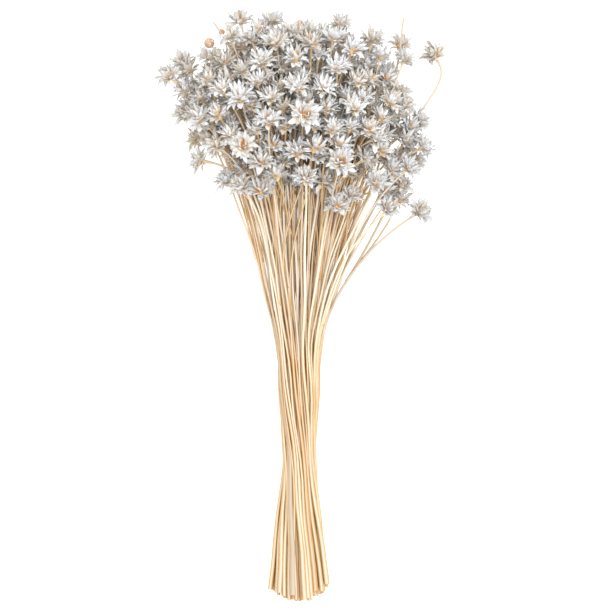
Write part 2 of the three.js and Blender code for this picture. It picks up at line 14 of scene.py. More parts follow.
import bpy
import numpy as np
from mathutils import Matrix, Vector


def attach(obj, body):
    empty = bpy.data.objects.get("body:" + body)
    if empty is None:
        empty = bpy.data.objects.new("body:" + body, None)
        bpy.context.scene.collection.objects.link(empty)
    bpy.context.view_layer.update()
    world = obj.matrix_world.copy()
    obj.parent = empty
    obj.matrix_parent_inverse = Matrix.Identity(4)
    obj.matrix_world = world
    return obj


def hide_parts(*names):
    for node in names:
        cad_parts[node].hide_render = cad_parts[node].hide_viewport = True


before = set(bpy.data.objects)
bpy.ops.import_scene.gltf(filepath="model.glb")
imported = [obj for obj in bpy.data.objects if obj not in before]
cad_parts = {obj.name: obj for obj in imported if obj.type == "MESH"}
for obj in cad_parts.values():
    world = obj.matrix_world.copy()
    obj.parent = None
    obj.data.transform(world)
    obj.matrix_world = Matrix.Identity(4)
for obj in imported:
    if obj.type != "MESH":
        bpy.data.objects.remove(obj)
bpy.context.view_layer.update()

# %% [markdown]
# ## Chance that repeats itself
#
# A bunch needs hundreds of small accidents: a stem cut a little shorter, a head turned a little
# aside. Blender's own random nodes would do, but here the solid model's rule is followed number by
# number, so the scene uses the same small generator. It always starts from its seed, so each run
# gives the same bunch.

# %% Numbers from 0 to 1, the same ones on every run
FLOWERS = 121
SEED = 19


def seeded(seed):
    state = seed

    def draw():
        nonlocal state
        state = (state * 1664525 + 1013904223) % 4294967296
        return state / 4294967296

    return draw


draw = seeded(SEED)
print("first draws:", [round(draw(), 4) for _ in range(3)])

# %% [markdown]
# ## Flowers that stand out
#
# Anyone who compares the bunch with its picture looks at the outline first: the heads at the rim of
# the crown, the large ones in front, the buds and the bare stalks. These get a place of their own
# in millimetres, with the way that each faces. The rest fills in between them by rule. The first
# three stand quite alone beside the crown.

# %% The landmark flowers: kind, place, facing, size
LANDMARKS = [
    ("head", (113.8, 465, 58), (-0.45, 0.8, 0.4), 1.05),
    ("head", (-85, 378, 76), (-0.95, 0.15, 0.3), 0.95),
    ("head", (101, 336, 68), (0.8, 0.55, 0.25), 1.1),
    ("head", (73, 331, 88), (0.65, 0.6, 0.5), 1.05),
    ("head", (85, 352, 62), (0.6, 0.7, 0.4), 1),
    ("head", (64, 352, 100), (0.3, 0.6, 0.75), 1),
    ("head", (-108, 444, 70), (-0.6, 0.75, 0.25), 1),
    ("head", (-97, 456, 52), (-0.45, 0.85, 0.2), 1),
    ("head", (-74, 460, 76), (-0.35, 0.85, 0.4), 1),
    ("head", (-49, 491, 60), (-0.2, 0.95, 0.15), 0.95),
    ("head", (-23, 490, 52), (0, 0.95, 0.2), 1),
    ("head", (-57, 476, 84), (-0.3, 0.8, 0.5), 1),
    ("head", (-2, 479, 78), (0, 0.9, 0.4), 1.05),
    ("head", (35, 487, 66), (0.05, 1, 0.1), 0.95),
    ("head", (61, 474, 72), (0.2, 0.9, 0.35), 1),
    ("head", (85, 471, 52), (0.1, 0.95, 0.25), 0.9),
    ("head", (88, 457, 78), (0.35, 0.9, 0.2), 0.9),
    ("head", (-95, 413, 60), (-0.7, 0.5, 0.4), 1),
    ("head", (100, 407, 58), (0.8, 0.5, 0.25), 1),
    ("head", (103, 384, 74), (0.85, 0.4, 0.35), 1),
    ("head", (91, 366, 90), (0.6, 0.5, 0.6), 1),
    ("head", (-81, 407, 90), (-0.5, 0.5, 0.7), 1),
    ("head", (-60, 356, 72), (-0.8, 0.5, 0.3), 0.95),
    ("head", (-47, 351, 94), (-0.4, 0.6, 0.7), 0.95),
    ("head", (6, 357, 104), (0, 0.9, 0.5), 1),
    ("head", (4, 409, 113), (0.05, 0.35, 0.93), 1.22),
    ("head", (35, 370, 108), (0.1, 0.3, 0.95), 1.1),
    ("head", (43, 343, 88), (0.2, 0.7, 0.6), 0.9),
    ("head", (-46, 384, 108), (-0.2, 0.25, 0.95), 1.05),
    ("head", (-25, 404, 112), (0, 0.75, 0.6), 1.1),
    ("head", (-48, 398, 8.4), (-0.35, 0.85, -0.3), 1),
    ("head", (40, 392, 8.4), (0.3, 0.9, -0.3), 1),
    ("head", (-4, 446, 8.6), (0.05, 0.95, -0.25), 1.05),
    ("bud", (-76, 475, 66), (-0.6, 0.75, 0.2), 4.3),
    ("bud", (-66, 485, 62), (-0.3, 0.9, 0.1), 2.6),
    ("bud", (0, 492, 60), (0.2, 0.95, 0.1), 3),
    ("bare", (88, 494, 70), (0.12, 1, 0), 0),
    ("bare", (-72, 490, 74), (-0.6, 0.8, 0.1), 0),
]
BENT_NECK = (0.4, 0.92, 0.1)  # the way the first landmark's stem comes in, askew to its head
print(len(LANDMARKS), "landmarks,", FLOWERS - len(LANDMARKS), "flowers by rule")

# %% [markdown]
# ## Where a stem runs
#
# A stem keeps its place in the bundle, like a straw in a broom: the bundle's section is one disc that
# turns and widens along the way, so stems that cross in the waist never run through each other. Above
# the waist each stem bends in a smooth curve towards its head and comes in along the head's axis.

# %% The disc, the bundle's sections and the curve of a stem
FOCUS = np.array([-1, 225, 46])  # here the fan of stems seems to start
FAN_SLOPE = np.array([0, 0.084])  # rise of the fan's middle
FAN_EDGE = 0.55  # slope of the outermost stems
SPREAD, STRAIGHT, REACH_BACK = 0.22, 50, 0.33  # how a stem's curve starts, and how softly it ends
CUT = SimpleNamespace(radius=26, turn=1.1, axis_z=26.4)
WAIST = SimpleNamespace(radius=13.4, turn=0.7, axis_z=34, y=118)
FAN = SimpleNamespace(radius=20.5, turn=0, axis_z=45, y=225)
SPLAY_LIFT, STAGGER = 12, 6
CORE_BOTTOM, SEAT_GAP, COLLAR_LENGTH = 2.6, 0.3, 7


def unit(v):
    return v / np.linalg.norm(v)


def fan_slope(at):
    ahead = at[1] - FOCUS[1]
    return np.array([at[0] - FOCUS[0], at[2] - FOCUS[2]]) / ahead - FAN_SLOPE


def disc_point(at, share):
    return unit(fan_slope(at)) * share


def bundle_point(disc, section, y):
    c, s = math.cos(section.turn), math.sin(section.turn)
    x, z = c * disc[0] + s * disc[1], c * disc[1] - s * disc[0]
    return np.array([x * section.radius, y, section.axis_z + z * section.radius])


def neck(flower):
    """The stem's top below its head, and the collar where the neck starts."""
    below = CORE_BOTTOM * flower.size if flower.kind == "head" else flower.size
    base = flower.at - flower.axis * (below + SEAT_GAP)
    return base, base - flower.axis * COLLAR_LENGTH


def fan_curve(flower):
    """The four control points from the fan to the collar."""
    fan = bundle_point(flower.disc, FAN, FAN.y)
    collar = neck(flower)[1]
    start = np.array([SPREAD * flower.disc[0], 1, SPREAD * flower.disc[1] + FAN_SLOPE[1]])
    return np.array([
        fan,
        fan + start * STRAIGHT + flower.sway,
        collar - flower.arrive * REACH_BACK * (collar[1] - FAN.y) + flower.sway,
        collar,
    ])


def along_curve(controls, steps):
    t = np.asarray(steps, float)[:, None]
    weights = np.hstack([(1 - t) ** 3, 3 * t * (1 - t) ** 2, 3 * t**2 * (1 - t), t**3])
    return weights @ controls


print("the bundle's middle passes the waist at", bundle_point(np.zeros(2), WAIST, WAIST.y))

# %% [markdown]
# ## Filling the crown
#
# The crown is an ellipsoid that a head is thrown into at random. Real heads share the room between
# them, so each new flower tries some places and takes the roomiest one. That looks natural and still
# leaves no hole, which a plain random scatter would.

# %% Place the flowers
CROWN = np.array([-2, 416, 62])
CROWN_HALF = np.array([96, 70, 51])
HEAD_ROOM, STEM_ROOM, DEPTH_SHARE = 20, 8, 0.75
TRIES, LOWEST_HEAD = 45, 9.5
CROWN_STEPS = [0.1, 0.25, 0.4, 0.5, 0.6, 0.7, 0.8, 0.9, 1]
OUTWARDS, WOBBLE = 0.85, 0.5  # how much a head looks out of the crown, and astray
SMALLEST, FRONT_GAIN, SIZE_RANGE = 0.86, 0.22, 0.14  # heads are larger in front
ROOM_ENOUGH = 2


def facing(at, wobble):
    out = (at - CROWN) / CROWN_HALF
    depth = out @ out
    return unit(unit(at - FOCUS) + unit(out / CROWN_HALF) * OUTWARDS * depth + wobble * WOBBLE)


def new_flower(kind, at, axis, arrive, size, draw):
    flower = SimpleNamespace(kind=kind, at=at, axis=axis, arrive=arrive, size=size)
    flower.stagger = draw()
    draw()  # the solid model's rule turns the head with this one
    flower.sway, flower.by_hand = np.zeros(3), False
    flower.disc = disc_point(at, min(1, np.linalg.norm(fan_slope(at)) / FAN_EDGE))
    flower.points = along_curve(fan_curve(flower), CROWN_STEPS)
    return flower


def room_for(flower, places, stems):
    apart = (flower.at - places) * (1, 1, DEPTH_SHARE)
    between = flower.points[:, None] - places
    return min(
        ROOM_ENOUGH,
        np.linalg.norm(apart, axis=-1).min() / HEAD_ROOM,
        np.linalg.norm(flower.at - stems, axis=-1).min() / STEM_ROOM,
        np.linalg.norm(between, axis=-1).min() / STEM_ROOM,
    )


def thrown(draw):
    """A random head in the crown, or None where the throw misses the ellipsoid."""
    spot = np.array([2 * draw() - 1, 2 * draw() - 1, 2 * math.sqrt(draw()) - 1])
    wobble = np.array([draw() - 0.5, draw() - 0.5, draw() - 0.5])
    if spot @ spot > 1:
        return None
    at = spot * CROWN_HALF + CROWN
    at[2] = max(at[2], LOWEST_HEAD)
    axis = facing(at, wobble)
    front = max(0, (at[2] - CROWN[2]) / CROWN_HALF[2])
    size = SMALLEST + FRONT_GAIN * front + SIZE_RANGE * draw()
    return new_flower("head", at, axis, axis, size, draw)


def place_flowers():
    draw = seeded(SEED)
    placed = []
    for kind, at, toward, size in LANDMARKS:
        axis = unit(np.array(toward, float))
        arrive = axis if placed else unit(np.array(BENT_NECK))
        placed.append(new_flower(kind, np.array(at, float), axis, arrive, size, draw))
        placed[-1].by_hand = True
    while len(placed) < FLOWERS:
        places = np.array([flower.at for flower in placed])
        stems = np.concatenate([flower.points for flower in placed])
        tries = [flower for flower in (thrown(draw) for _ in range(TRIES)) if flower]
        placed.append(max(tries, key=lambda flower: room_for(flower, places, stems)))
    return placed


flowers = place_flowers()
heads = [flower for flower in flowers if flower.kind == "head"]
buds = [flower for flower in flowers if flower.kind == "bud"]
print(len(flowers), "flowers,", len(heads), "of them open heads")

# %% [markdown]
# ## Packing the bundle
#
# The outermost heads have the outermost stems, as in a bunch that was gathered head by head. Then
# stems that share a spot are pushed apart, first as points in the disc, then along their curves, where
# each sways aside a little until it clears its neighbours and the heads beside it.

# %% Push the stems apart
STEM_SPACING, DISC_EDGE, PACK_ROUNDS = 0.165, 0.97, 120
SETTLE_ROUNDS, SWAY_STEP, STEM_AIR, CORE_AIR = 24, 0.5, 2.4, 6.1
PUSH, STRONG_BEND = 0.4, 0.8
TINY = 0.0001


def pack_disc(flowers):
    order = sorted(flowers, key=lambda flower: np.linalg.norm(fan_slope(flower.at)))
    for rank, flower in enumerate(order):
        flower.disc = disc_point(flower.at, math.sqrt((rank + 0.5) / len(flowers)))
    discs = np.array([flower.disc for flower in flowers])
    for _ in range(PACK_ROUNDS):
        apart = discs[:, None] - discs[None]
        distance = np.linalg.norm(apart, axis=-1)
        np.fill_diagonal(distance, 1)
        push = np.where(distance < STEM_SPACING, PUSH * (STEM_SPACING - distance) / distance, 0)
        discs = discs + (apart * push[..., None]).sum(1)
        radius = np.linalg.norm(discs, axis=-1, keepdims=True)
        discs = discs * np.minimum(1, DISC_EDGE / radius)
    for flower, disc in zip(flowers, discs):
        flower.disc = disc


def bends_strongly(controls):
    start, after, before, end = along_curve(controls, [0, TINY, 1 - TINY, 1])
    return math.acos(unit(after - start) @ unit(end - before)) > STRONG_BEND


def stretches(flower):
    """Points of the stem above the fan, at the ends of its straight stretches."""
    controls = fan_curve(flower)
    return along_curve(controls, np.linspace(0, 1, 5 if bends_strongly(controls) else 3))


def push_off(a0, a1, b0, b1, room):
    """How far each stretch a moves off each segment b, where they come closer than room."""
    u, v, w = a1 - a0, b1 - b0, a0 - b0
    uu, vv, uv = (u * u).sum(-1), (v * v).sum(-1), (u * v).sum(-1)
    uw, vw = (u * w).sum(-1), (v * w).sum(-1)
    span = uu * vv - uv * uv
    open_span = span > 1e-9
    s = np.where(open_span, np.clip((uv * vw - vv * uw) / np.where(open_span, span, 1), 0, 1), 0)
    t = np.clip((uv * s + vw) / vv, 0, 1)
    s = np.clip((uv * t - uw) / uu, 0, 1)
    gap = w + u * s[..., None] - v * t[..., None]
    distance = np.linalg.norm(gap, axis=-1)
    step = np.where(distance < room, SWAY_STEP * (room - distance) / np.maximum(distance, 1e-6), 0)
    return gap * step[..., None]


def settle_stems(flowers):
    head_index = [i for i, flower in enumerate(flowers) if flower.kind == "head"]
    middle = np.array([flowers[i].at for i in head_index])
    crown = np.array([flowers[i].at + 2 * flowers[i].axis for i in head_index])
    room = np.array([CORE_AIR * flowers[i].size for i in head_index])
    for _ in range(SETTLE_ROUNDS):
        paths = [stretches(flower) for flower in flowers]
        owner = np.repeat(range(len(flowers)), [len(path) - 1 for path in paths])
        low = np.concatenate([path[:-1] for path in paths])
        high = np.concatenate([path[1:] for path in paths])
        from_stems = push_off(low[:, None], high[:, None], low[None], high[None], STEM_AIR)
        from_stems[owner[:, None] == owner[None]] = 0
        from_heads = push_off(low[:, None], high[:, None], middle[None], crown[None], room)
        from_heads[owner[:, None] == np.array(head_index)[None]] = 0
        moves = from_stems.sum(1) + from_heads.sum(1)
        for i, flower in enumerate(flowers):
            flower.sway = flower.sway + moves[owner == i].sum(0) * (1, 0, 1)


pack_disc(flowers)
settle_stems(flowers)
print("widest sway", round(max(np.linalg.norm(flower.sway) for flower in flowers), 1), "mm")

# %% [markdown]
# ## From millimetres by rule to metres on the table
#
# The rule works in millimetres from the cut ends. Blender works in metres, with the origin under the
# middle of the bunch. Every head then looks up which solid of the frame it belongs to: the one with
# the corner nearest to the head's middle. A wrong place would show here as a large distance.

# %% Find each head's solid
ORIGIN = np.array([2.06, 251.1, 0])  # the point under the middle of the bunch
MM = 0.001


def metres(points):
    return (np.asarray(points) - ORIGIN) * MM


def corners(node):
    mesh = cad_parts[node].data
    found = np.empty(len(mesh.vertices) * 3)
    mesh.vertices.foreach_get("co", found)
    return found.reshape(-1, 3)


head_nodes = sorted(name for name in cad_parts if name.startswith("flower_heads"))
node_corners = {name: corners(name) for name in head_nodes}
heads_of = {name: [] for name in head_nodes}
distances = []
for head in heads:
    gaps = {n: np.linalg.norm(c - metres(head.at), axis=1).min() for n, c in node_corners.items()}
    node = min(gaps, key=gaps.get)
    heads_of[node].append(head)
    distances.append(gaps[node] / MM / head.size)
print(f"heads sit {min(distances):.2f} to {max(distances):.2f} mm from their solids' corners")
if min(map(len, heads_of.values())) == 0:
    raise RuntimeError("a solid has no head: the rule and the solid model differ")

# %% [markdown]
# ## Reading the bracts off the solids
#
# The solid heads have a few coarse bracts, bent so that neighbours keep clear. The finer heads keep
# those directions. A bract's tip is easy to know: all edges that end there come from the same side,
# so the unit vectors along them nearly agree. Each tip goes to the head it points away from. After
# that, three heads and the buds move a few millimetres, to where a close look wants them.

# %% Find the tips
SHARP = 0.75  # how well the edges at a corner agree, from 0 to 1, where it is a tip
WELD, UNWELD = 1e6, 1e-6  # to whole micrometres, so that corners at one place fall together
FAR_COSTS = 0.03  # a millimetre of distance counts like this many radians of wrong direction
NUDGES = [(1, -3, 0), (4, -5, 0), (-1, -6, 0)]  # of the first heads
NUDGES += [(0.5, -2, 0), (1, -3, 8), (1, -2, 0)]  # of the buds


def tips(node):
    """Places of the tips of a solid, and the way each points."""
    keys = np.round(node_corners[node] * WELD).astype(int)
    keys, weld = np.unique(keys, axis=0, return_inverse=True)
    points = keys * UNWELD
    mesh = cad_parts[node].data
    loops = np.empty(len(mesh.loops), int)
    mesh.loops.foreach_get("vertex_index", loops)
    triangles = weld.ravel()[loops].reshape(-1, 3)
    ends = np.concatenate([triangles[:, [a, b]] for a in range(3) for b in range(3) if a != b])
    ends = ends[ends[:, 0] != ends[:, 1]]
    ways = points[ends[:, 0]] - points[ends[:, 1]]
    ways /= np.linalg.norm(ways, axis=1, keepdims=True)
    total = np.zeros_like(points)
    np.add.at(total, ends[:, 0], ways)
    total /= np.bincount(ends[:, 0], minlength=len(points))[:, None]
    sharp = np.linalg.norm(total, axis=1) > SHARP
    lengths = np.linalg.norm(total[sharp], axis=1, keepdims=True)
    return points[sharp], total[sharp] / lengths


def share_tips(node):
    """Gives each tip to one head of the node."""
    for head in heads_of[node]:
        head.tips = []
    for tip, way in zip(*tips(node)):
        def mismatch(head):
            reach = tip - metres(head.at)
            length = np.linalg.norm(reach)
            return math.acos(np.clip(reach @ way / length, -1, 1)) + length / MM * FAR_COSTS
        head = min(heads_of[node], key=mismatch)
        head.tips.append((tip - metres(head.at)) / MM)


for node in head_nodes:
    share_tips(node)
for flower, nudge in zip(heads[:3] + buds, NUDGES):
    flower.at = flower.at + nudge
print("bract tips per head:", sorted({len(head.tips) for head in heads}))

# %% [markdown]
# ## Side branches that fill the crown
#
# Hill flowers branch: a stem forks above the waist, and the side shoot carries a head of its own.
# These heads fill the crown, so that hardly any stem shows between the flowers, and their shoots fill
# the fan. A few at the rim are listed, and two more fork off the lone stem at the lower right.
# Each of the others takes the widest gap that is left, first as seen from above and then in depth.
# Its shoot leaves the stem that already points nearly there, so that the two part in a narrow fork.

# %% Place the side branches
BRANCHES = 144
RIM_BRANCHES = [
    (83, 413, 70), (92, 400, 62), (89, 388, 66), (76, 364, 80), (84, 373, 66), (68, 380, 92),
    (58, 397, 98), (97, 374, 50), (70, 350, 64), (-92, 449, 60), (-94, 432, 68), (-62, 454, 78),
    (-32, 480, 66), (68, 458, 82), (73, 441, 72), (-75, 438, 84), (20, 474, 70), (31, 334, 96),
    (-31, 347, 95)]
EDGE_SHOOTS = [((84, 340, 56), 0.16), ((77, 341, 48), 0.36)]  # head, and where the lone stem forks
EDGE_WAY = unit(np.array([0.4, 0.85, 0.3]))
BRANCH_TRIES = 90
GAP_SEEN, GAP_DEEP, SEEN_COUNTS = 13, 18, 1.3  # gaps in mm that are wide enough, and a weight
SMALL_BRANCH, BRANCH_RANGE = 0.95, 0.22
FORK_FROM, FORK_RANGE = 0.04, 0.3  # share of the stem above the fan
FRONT, ASTRAY = 80, 0.28  # above this height a shoot may cross its neighbours
OPEN_CORNER = np.array([-67, 385])  # left of this and below it, only one lone head stands out


def widest_gap(draw, places):
    best, most = None, -1
    for _ in range(BRANCH_TRIES):
        spot = np.array([2 * draw() - 1, 2 * draw() - 1, 1.7 * draw() - 0.75])
        if spot @ spot > 1:
            continue
        at = CROWN + spot * CROWN_HALF * 0.95
        at[2] = max(at[2], LOWEST_HEAD)
        if (at[:2] - OPEN_CORNER).sum() < 0 and at[0] < 0:
            continue
        away = places - at
        seen = min(GAP_SEEN, np.linalg.norm(away[:, :2], axis=1).min())
        deep = min(GAP_DEEP, np.linalg.norm(away, axis=1).min())
        if SEEN_COUNTS * seen + deep > most:
            best, most = at, SEEN_COUNTS * seen + deep
    return best


def side_branch(at, axis, size, parent, share):
    """A shoot with a head, which leaves its parent's stem at this share of the way above the fan."""
    branch = SimpleNamespace(kind="head", at=at, axis=axis, size=size, tips=[], by_hand=False)
    branch.start, ahead = along_curve(fan_curve(parent), [share, share + 0.01])
    branch.way = unit(ahead - branch.start)
    return branch


def place_branches():
    draw = seeded(SEED + 1)
    places = np.array([flower.at for flower in heads])
    slopes = np.array([fan_slope(flower.at) for flower in heads])
    grown = []
    while len(grown) < BRANCHES - len(EDGE_SHOOTS):
        by_hand = len(grown) < len(RIM_BRANCHES)
        at = np.array(RIM_BRANCHES[len(grown)], float) if by_hand else widest_gap(draw, places)
        axis = facing(at, np.array([draw() - 0.5, draw() + 0.3, draw() - 0.3]))
        size = SMALL_BRANCH + BRANCH_RANGE * draw()
        astray = np.array([ASTRAY * (2 * draw() - 1) * (at[2] > FRONT), 0])
        parent = heads[np.linalg.norm(slopes - fan_slope(at) - astray, axis=1).argmin()]
        grown.append(side_branch(at, axis, size, parent, FORK_FROM + FORK_RANGE * draw()))
        places = np.vstack([places, at])
    for at, share in EDGE_SHOOTS:
        grown.append(side_branch(np.array(at, float), EDGE_WAY, 1, heads[2], share))
    return grown


branches = place_branches()
print(len(branches), "side branches")

# %% [markdown]
# ## Short ways to build a node tree
#
# Both materials and Geometry Nodes are trees. Adding each node by its full name makes long scripts
# that are hard to read, so one small class adds a node, fills its sockets with a value or a link and
# gives back the result.

# %% A helper for node trees
class Nodes:
    def __init__(self, tree):
        self.tree = tree

    def add(self, kind, sockets=None, **settings):
        node = self.tree.nodes.new(kind)
        for name, value in settings.items():
            setattr(node, name, value)
        for key, value in (sockets or {}).items():
            if isinstance(value, bpy.types.NodeSocket):
                self.tree.links.new(value, node.inputs[key])
            else:
                node.inputs[key].default_value = value
        return node

    def field(self, name, kind="FLOAT"):
        """What the geometry carries under a name: a number, or an arrow with kind FLOAT_VECTOR."""
        return self.add("GeometryNodeInputNamedAttribute", {"Name": name}, data_type=kind).outputs[0]

    def math(self, operation, *values):
        node = self.add("ShaderNodeMath", dict(enumerate(values)), operation=operation)
        return node.outputs[0]

    def vector(self, operation, a, b):
        other = 3 if operation == "SCALE" else 1
        return self.add("ShaderNodeVectorMath", {0: a, other: b}, operation=operation).outputs[0]

    def product(self, *values):
        result = values[0]
        for value in values[1:]:
            result = self.math("MULTIPLY", result, value)
        return result

    def total(self, *values):
        result = values[0]
        for value in values[1:]:
            result = self.math("ADD", result, value)
        return result


def linear(colour):
    """A colour written as 0xRRGGBB in the linear values that Blender's sockets take."""
    parts = [(colour >> shift & 255) / 255 for shift in (16, 8, 0)]
    return [p / 12.92 if p <= 0.04045 else ((p + 0.055) / 1.055) ** 2.4 for p in parts] + [1]


# %% [markdown]
# ## The finish of a bract
#
# A dried bract is a papery scale. It is silver grey with fine lines from base to tip, a little darker
# and warmer along its rim, and amber where it leaves the head. The lines must follow each bract
# however it is bent, so the material reads where it is on the bract, not where it is in the world.
# Each bract also carries a number of its own that makes it lighter or greyer than its neighbour, with
# painted shade mixed in: the number is lower, so the bract darker and warmer, in heads that sit deep in
# the crown. A second number paints shade on the heads at the crown's rim, which turn away from the
# light.

# %% The material of the bracts
class Paint(Nodes):
    """Nodes of a material: reads attributes, mixes colours and ends in one shader."""

    def __init__(self, name):
        material = bpy.data.materials.new(name)
        material.use_nodes = True
        super().__init__(material.node_tree)
        self.material = material
        self.shader = self.tree.nodes["Principled BSDF"]

    def attribute(self, name):
        return self.add("ShaderNodeAttribute", attribute_name=name).outputs["Fac"]

    def mix(self, factor, a, b):
        """From a at 0 to b at 1. Each is a link or a colour written as 0xRRGGBB."""
        a, b = (linear(colour) if isinstance(colour, int) else colour for colour in (a, b))
        return self.add("ShaderNodeMix", {0: factor, 6: a, 7: b}, data_type="RGBA").outputs[2]

    def ramp(self, value, low, high):
        """0 at low, 1 at high, smooth between them. Low may be the larger one."""
        sockets = {0: value, 1: low, 2: high, 3: 0.0, 4: 1.0}
        return self.add("ShaderNodeMapRange", sockets, interpolation_type="SMOOTHSTEP").outputs[0]

    def noise(self, vector, scale, detail=2.0):
        node = self.add("ShaderNodeTexNoise", {"Vector": vector, "Scale": scale, "Detail": detail})
        return node.outputs[0]

    def combine(self, x, y, z):
        return self.add("ShaderNodeCombineXYZ", {0: x, 1: y, 2: z}).outputs[0]

    def finish(self, colour, roughness, height, bump, distance):
        self.tree.links.new(colour, self.shader.inputs["Base Color"])
        self.tree.links.new(roughness, self.shader.inputs["Roughness"])
        relief = {"Strength": bump, "Distance": distance, "Height": height}
        relief = self.add("ShaderNodeBump", relief).outputs[0]
        self.tree.links.new(relief, self.shader.inputs["Normal"])
        return self.material


def bract_material():
    paint = Paint("silver_bract")
    along, across = paint.attribute("along"), paint.attribute("across")
    tint, amber, floret, dull = (paint.attribute(name) for name in ("tint", "amber", "floret", "dull"))
    ribs = paint.math("MULTIPLY_ADD", across, 5.0, paint.product(tint, 61.0))
    ribs = paint.combine(ribs, paint.product(along, 1.3), paint.product(tint, 23.0))
    lines = paint.noise(ribs, 1.6, 3.0)
    place = paint.add("ShaderNodeTexCoord").outputs["Object"]
    grime = paint.noise(place, 210.0)
    # Low tints are darker and warmer. Besides each bract's own tone, they hold painted shade for the
    # heads deep in the crown.
    pale = paint.mix(paint.ramp(tint, 0.0, 1.0), 0xEDE5D6, 0xE8ECF1)
    grey = paint.mix(paint.ramp(tint, 0.0, 1.0), 0xCFBC9A, 0xE2E3E5)
    colour = paint.mix(paint.ramp(lines, 0.62, 0.36), pale, grey)
    colour = paint.mix(paint.product(paint.ramp(grime, 0.5, 0.75), 0.3), colour, 0xC9BDA2)
    rim = paint.ramp(paint.math("ABSOLUTE", across), 0.72, 1.0)
    colour = paint.mix(paint.product(rim, 0.35), colour, 0xB5A688)
    tip = paint.product(paint.ramp(along, 0.6, 1.0), paint.math("SUBTRACT", 1.0, tint), 0.5)
    colour = paint.mix(tip, colour, 0x9F9A93)
    cream = paint.product(paint.ramp(along, 0.6, 0.1), 0.25)
    colour = paint.mix(cream, colour, 0xF2DEAC)
    # Painted shade: heads at the crown's rim are mixed towards grey.
    colour = paint.mix(dull, colour, 0xA1A1A2)
    base = paint.product(paint.ramp(along, 0.58, 0.1), amber)
    warm = paint.mix(paint.ramp(lines, 0.35, 0.6), 0xE09A34, 0xFBD894)
    colour = paint.mix(base, colour, warm)
    colour = paint.mix(floret, colour, paint.mix(along, 0xEBC084, 0xA65E22))
    shader = paint.shader.inputs
    shader["Specular IOR Level"].default_value = 0.3
    shader["Sheen Weight"].default_value = 0.35
    shader["Sheen Roughness"].default_value = 0.5
    roughness = paint.math("MULTIPLY_ADD", lines, 0.2, 0.62)
    return paint.finish(colour, roughness, lines, 0.5, 0.0003)


SILVER = bract_material()
print("finish:", SILVER.name)

# %% [markdown]
# ## The pattern of one bract
#
# All bracts are one blade, bent and stretched in thousands of ways. The pattern holds no shape of its
# own, only where each corner is: how far along the blade, how far across it, and on which face. Its
# two faces meet in a sharp rim, so a bract is a closed body, as thin as paper but never open. Forty
# small faces are enough, because each bract is only a few millimetres wide, and twenty for the heads
# that sit deeper in the crown.

# %% Make the blade pattern
ROWS = [0, 0.14, 0.32, 0.54, 0.78]
COLUMNS = [-1, -0.5, 0, 0.5, 1]
FEW_COLUMNS = [-1, 0, 1]


def store(mesh, name, values):
    values = np.asarray(values, np.float32)
    kind, field = ("FLOAT_VECTOR", "vector") if values.ndim == 2 else ("FLOAT", "value")
    mesh.attributes.new(name, kind, "POINT").data.foreach_set(field, values.ravel())


def blade_pattern(columns):
    spots, index = [], {}
    for row, along in enumerate(ROWS):
        for column, across in enumerate(columns):
            shared = row == 0 or abs(across) == 1
            for face in (0,) if shared else (1, -1):
                index[row, column, face] = len(spots)
                spots.append((across, along, face))
    tip = len(spots)
    spots.append((0, 1, 0))

    def corner(row, column, face):
        if row == len(ROWS):
            return tip
        return index.get((row, column, face), index.get((row, column, 0)))

    faces = []
    for face in (1, -1):
        for row in range(len(ROWS)):
            for column in range(len(columns) - 1):
                ring = [corner(row, column, face), corner(row, column + 1, face),
                        corner(row + 1, column + 1, face), corner(row + 1, column, face)]
                ring = list(dict.fromkeys(ring))
                faces.append(ring if face == 1 else ring[::-1])
    mesh = bpy.data.meshes.new("blade_pattern")
    mesh.from_pydata([(x, y, 0.1 * z) for x, y, z in spots], [], faces)
    across, along, face = np.array(spots, float).T
    store(mesh, "across", across)
    store(mesh, "along", along)
    store(mesh, "face", face)
    for edge in mesh.edges:
        a, b = (spots[v] for v in edge.vertices)
        edge.use_edge_sharp = abs(a[0]) == 1 and abs(b[0]) == 1 and a[0] == b[0]
    mesh.shade_smooth()
    pattern = bpy.data.objects.new("blade_pattern", mesh)
    bpy.context.scene.collection.objects.link(pattern)
    return pattern


BLADE, PLAIN_BLADE = blade_pattern(COLUMNS), blade_pattern(FEW_COLUMNS)
print("blade patterns:", len(BLADE.data.polygons), "and", len(PLAIN_BLADE.data.polygons), "faces")

# %% [markdown]
# ## A head grown with Geometry Nodes
#
# A head could be modelled bract by bract, but then changing the fullness would mean starting again.
# Here each bract is one point that carries its numbers: where it starts, which way it goes, how long
# and wide it is, how it arches, cups and twists. The tree puts a blade on every point, makes the
# copies real and moves each corner to its place with that bract's own numbers. The small egg under
# the bracts, which they grow from, is a second kind of point.

# %% The node tree of the flower heads
OUTLINE = [(0, 0.42), (0.14, 0.62), (0.32, 0.86), (0.54, 1.0), (0.78, 0.74), (1, 0.0)]  # half widths
ABOVE_TABLE = (-10, -10, 0.00015)  # the lowest place of a corner, in metres


def add_inputs(tree, *sockets):
    for name, kind in sockets:
        tree.interface.new_socket(name, in_out="INPUT", socket_type=kind)
    tree.interface.new_socket("Geometry", in_out="OUTPUT", socket_type="NodeSocketGeometry")


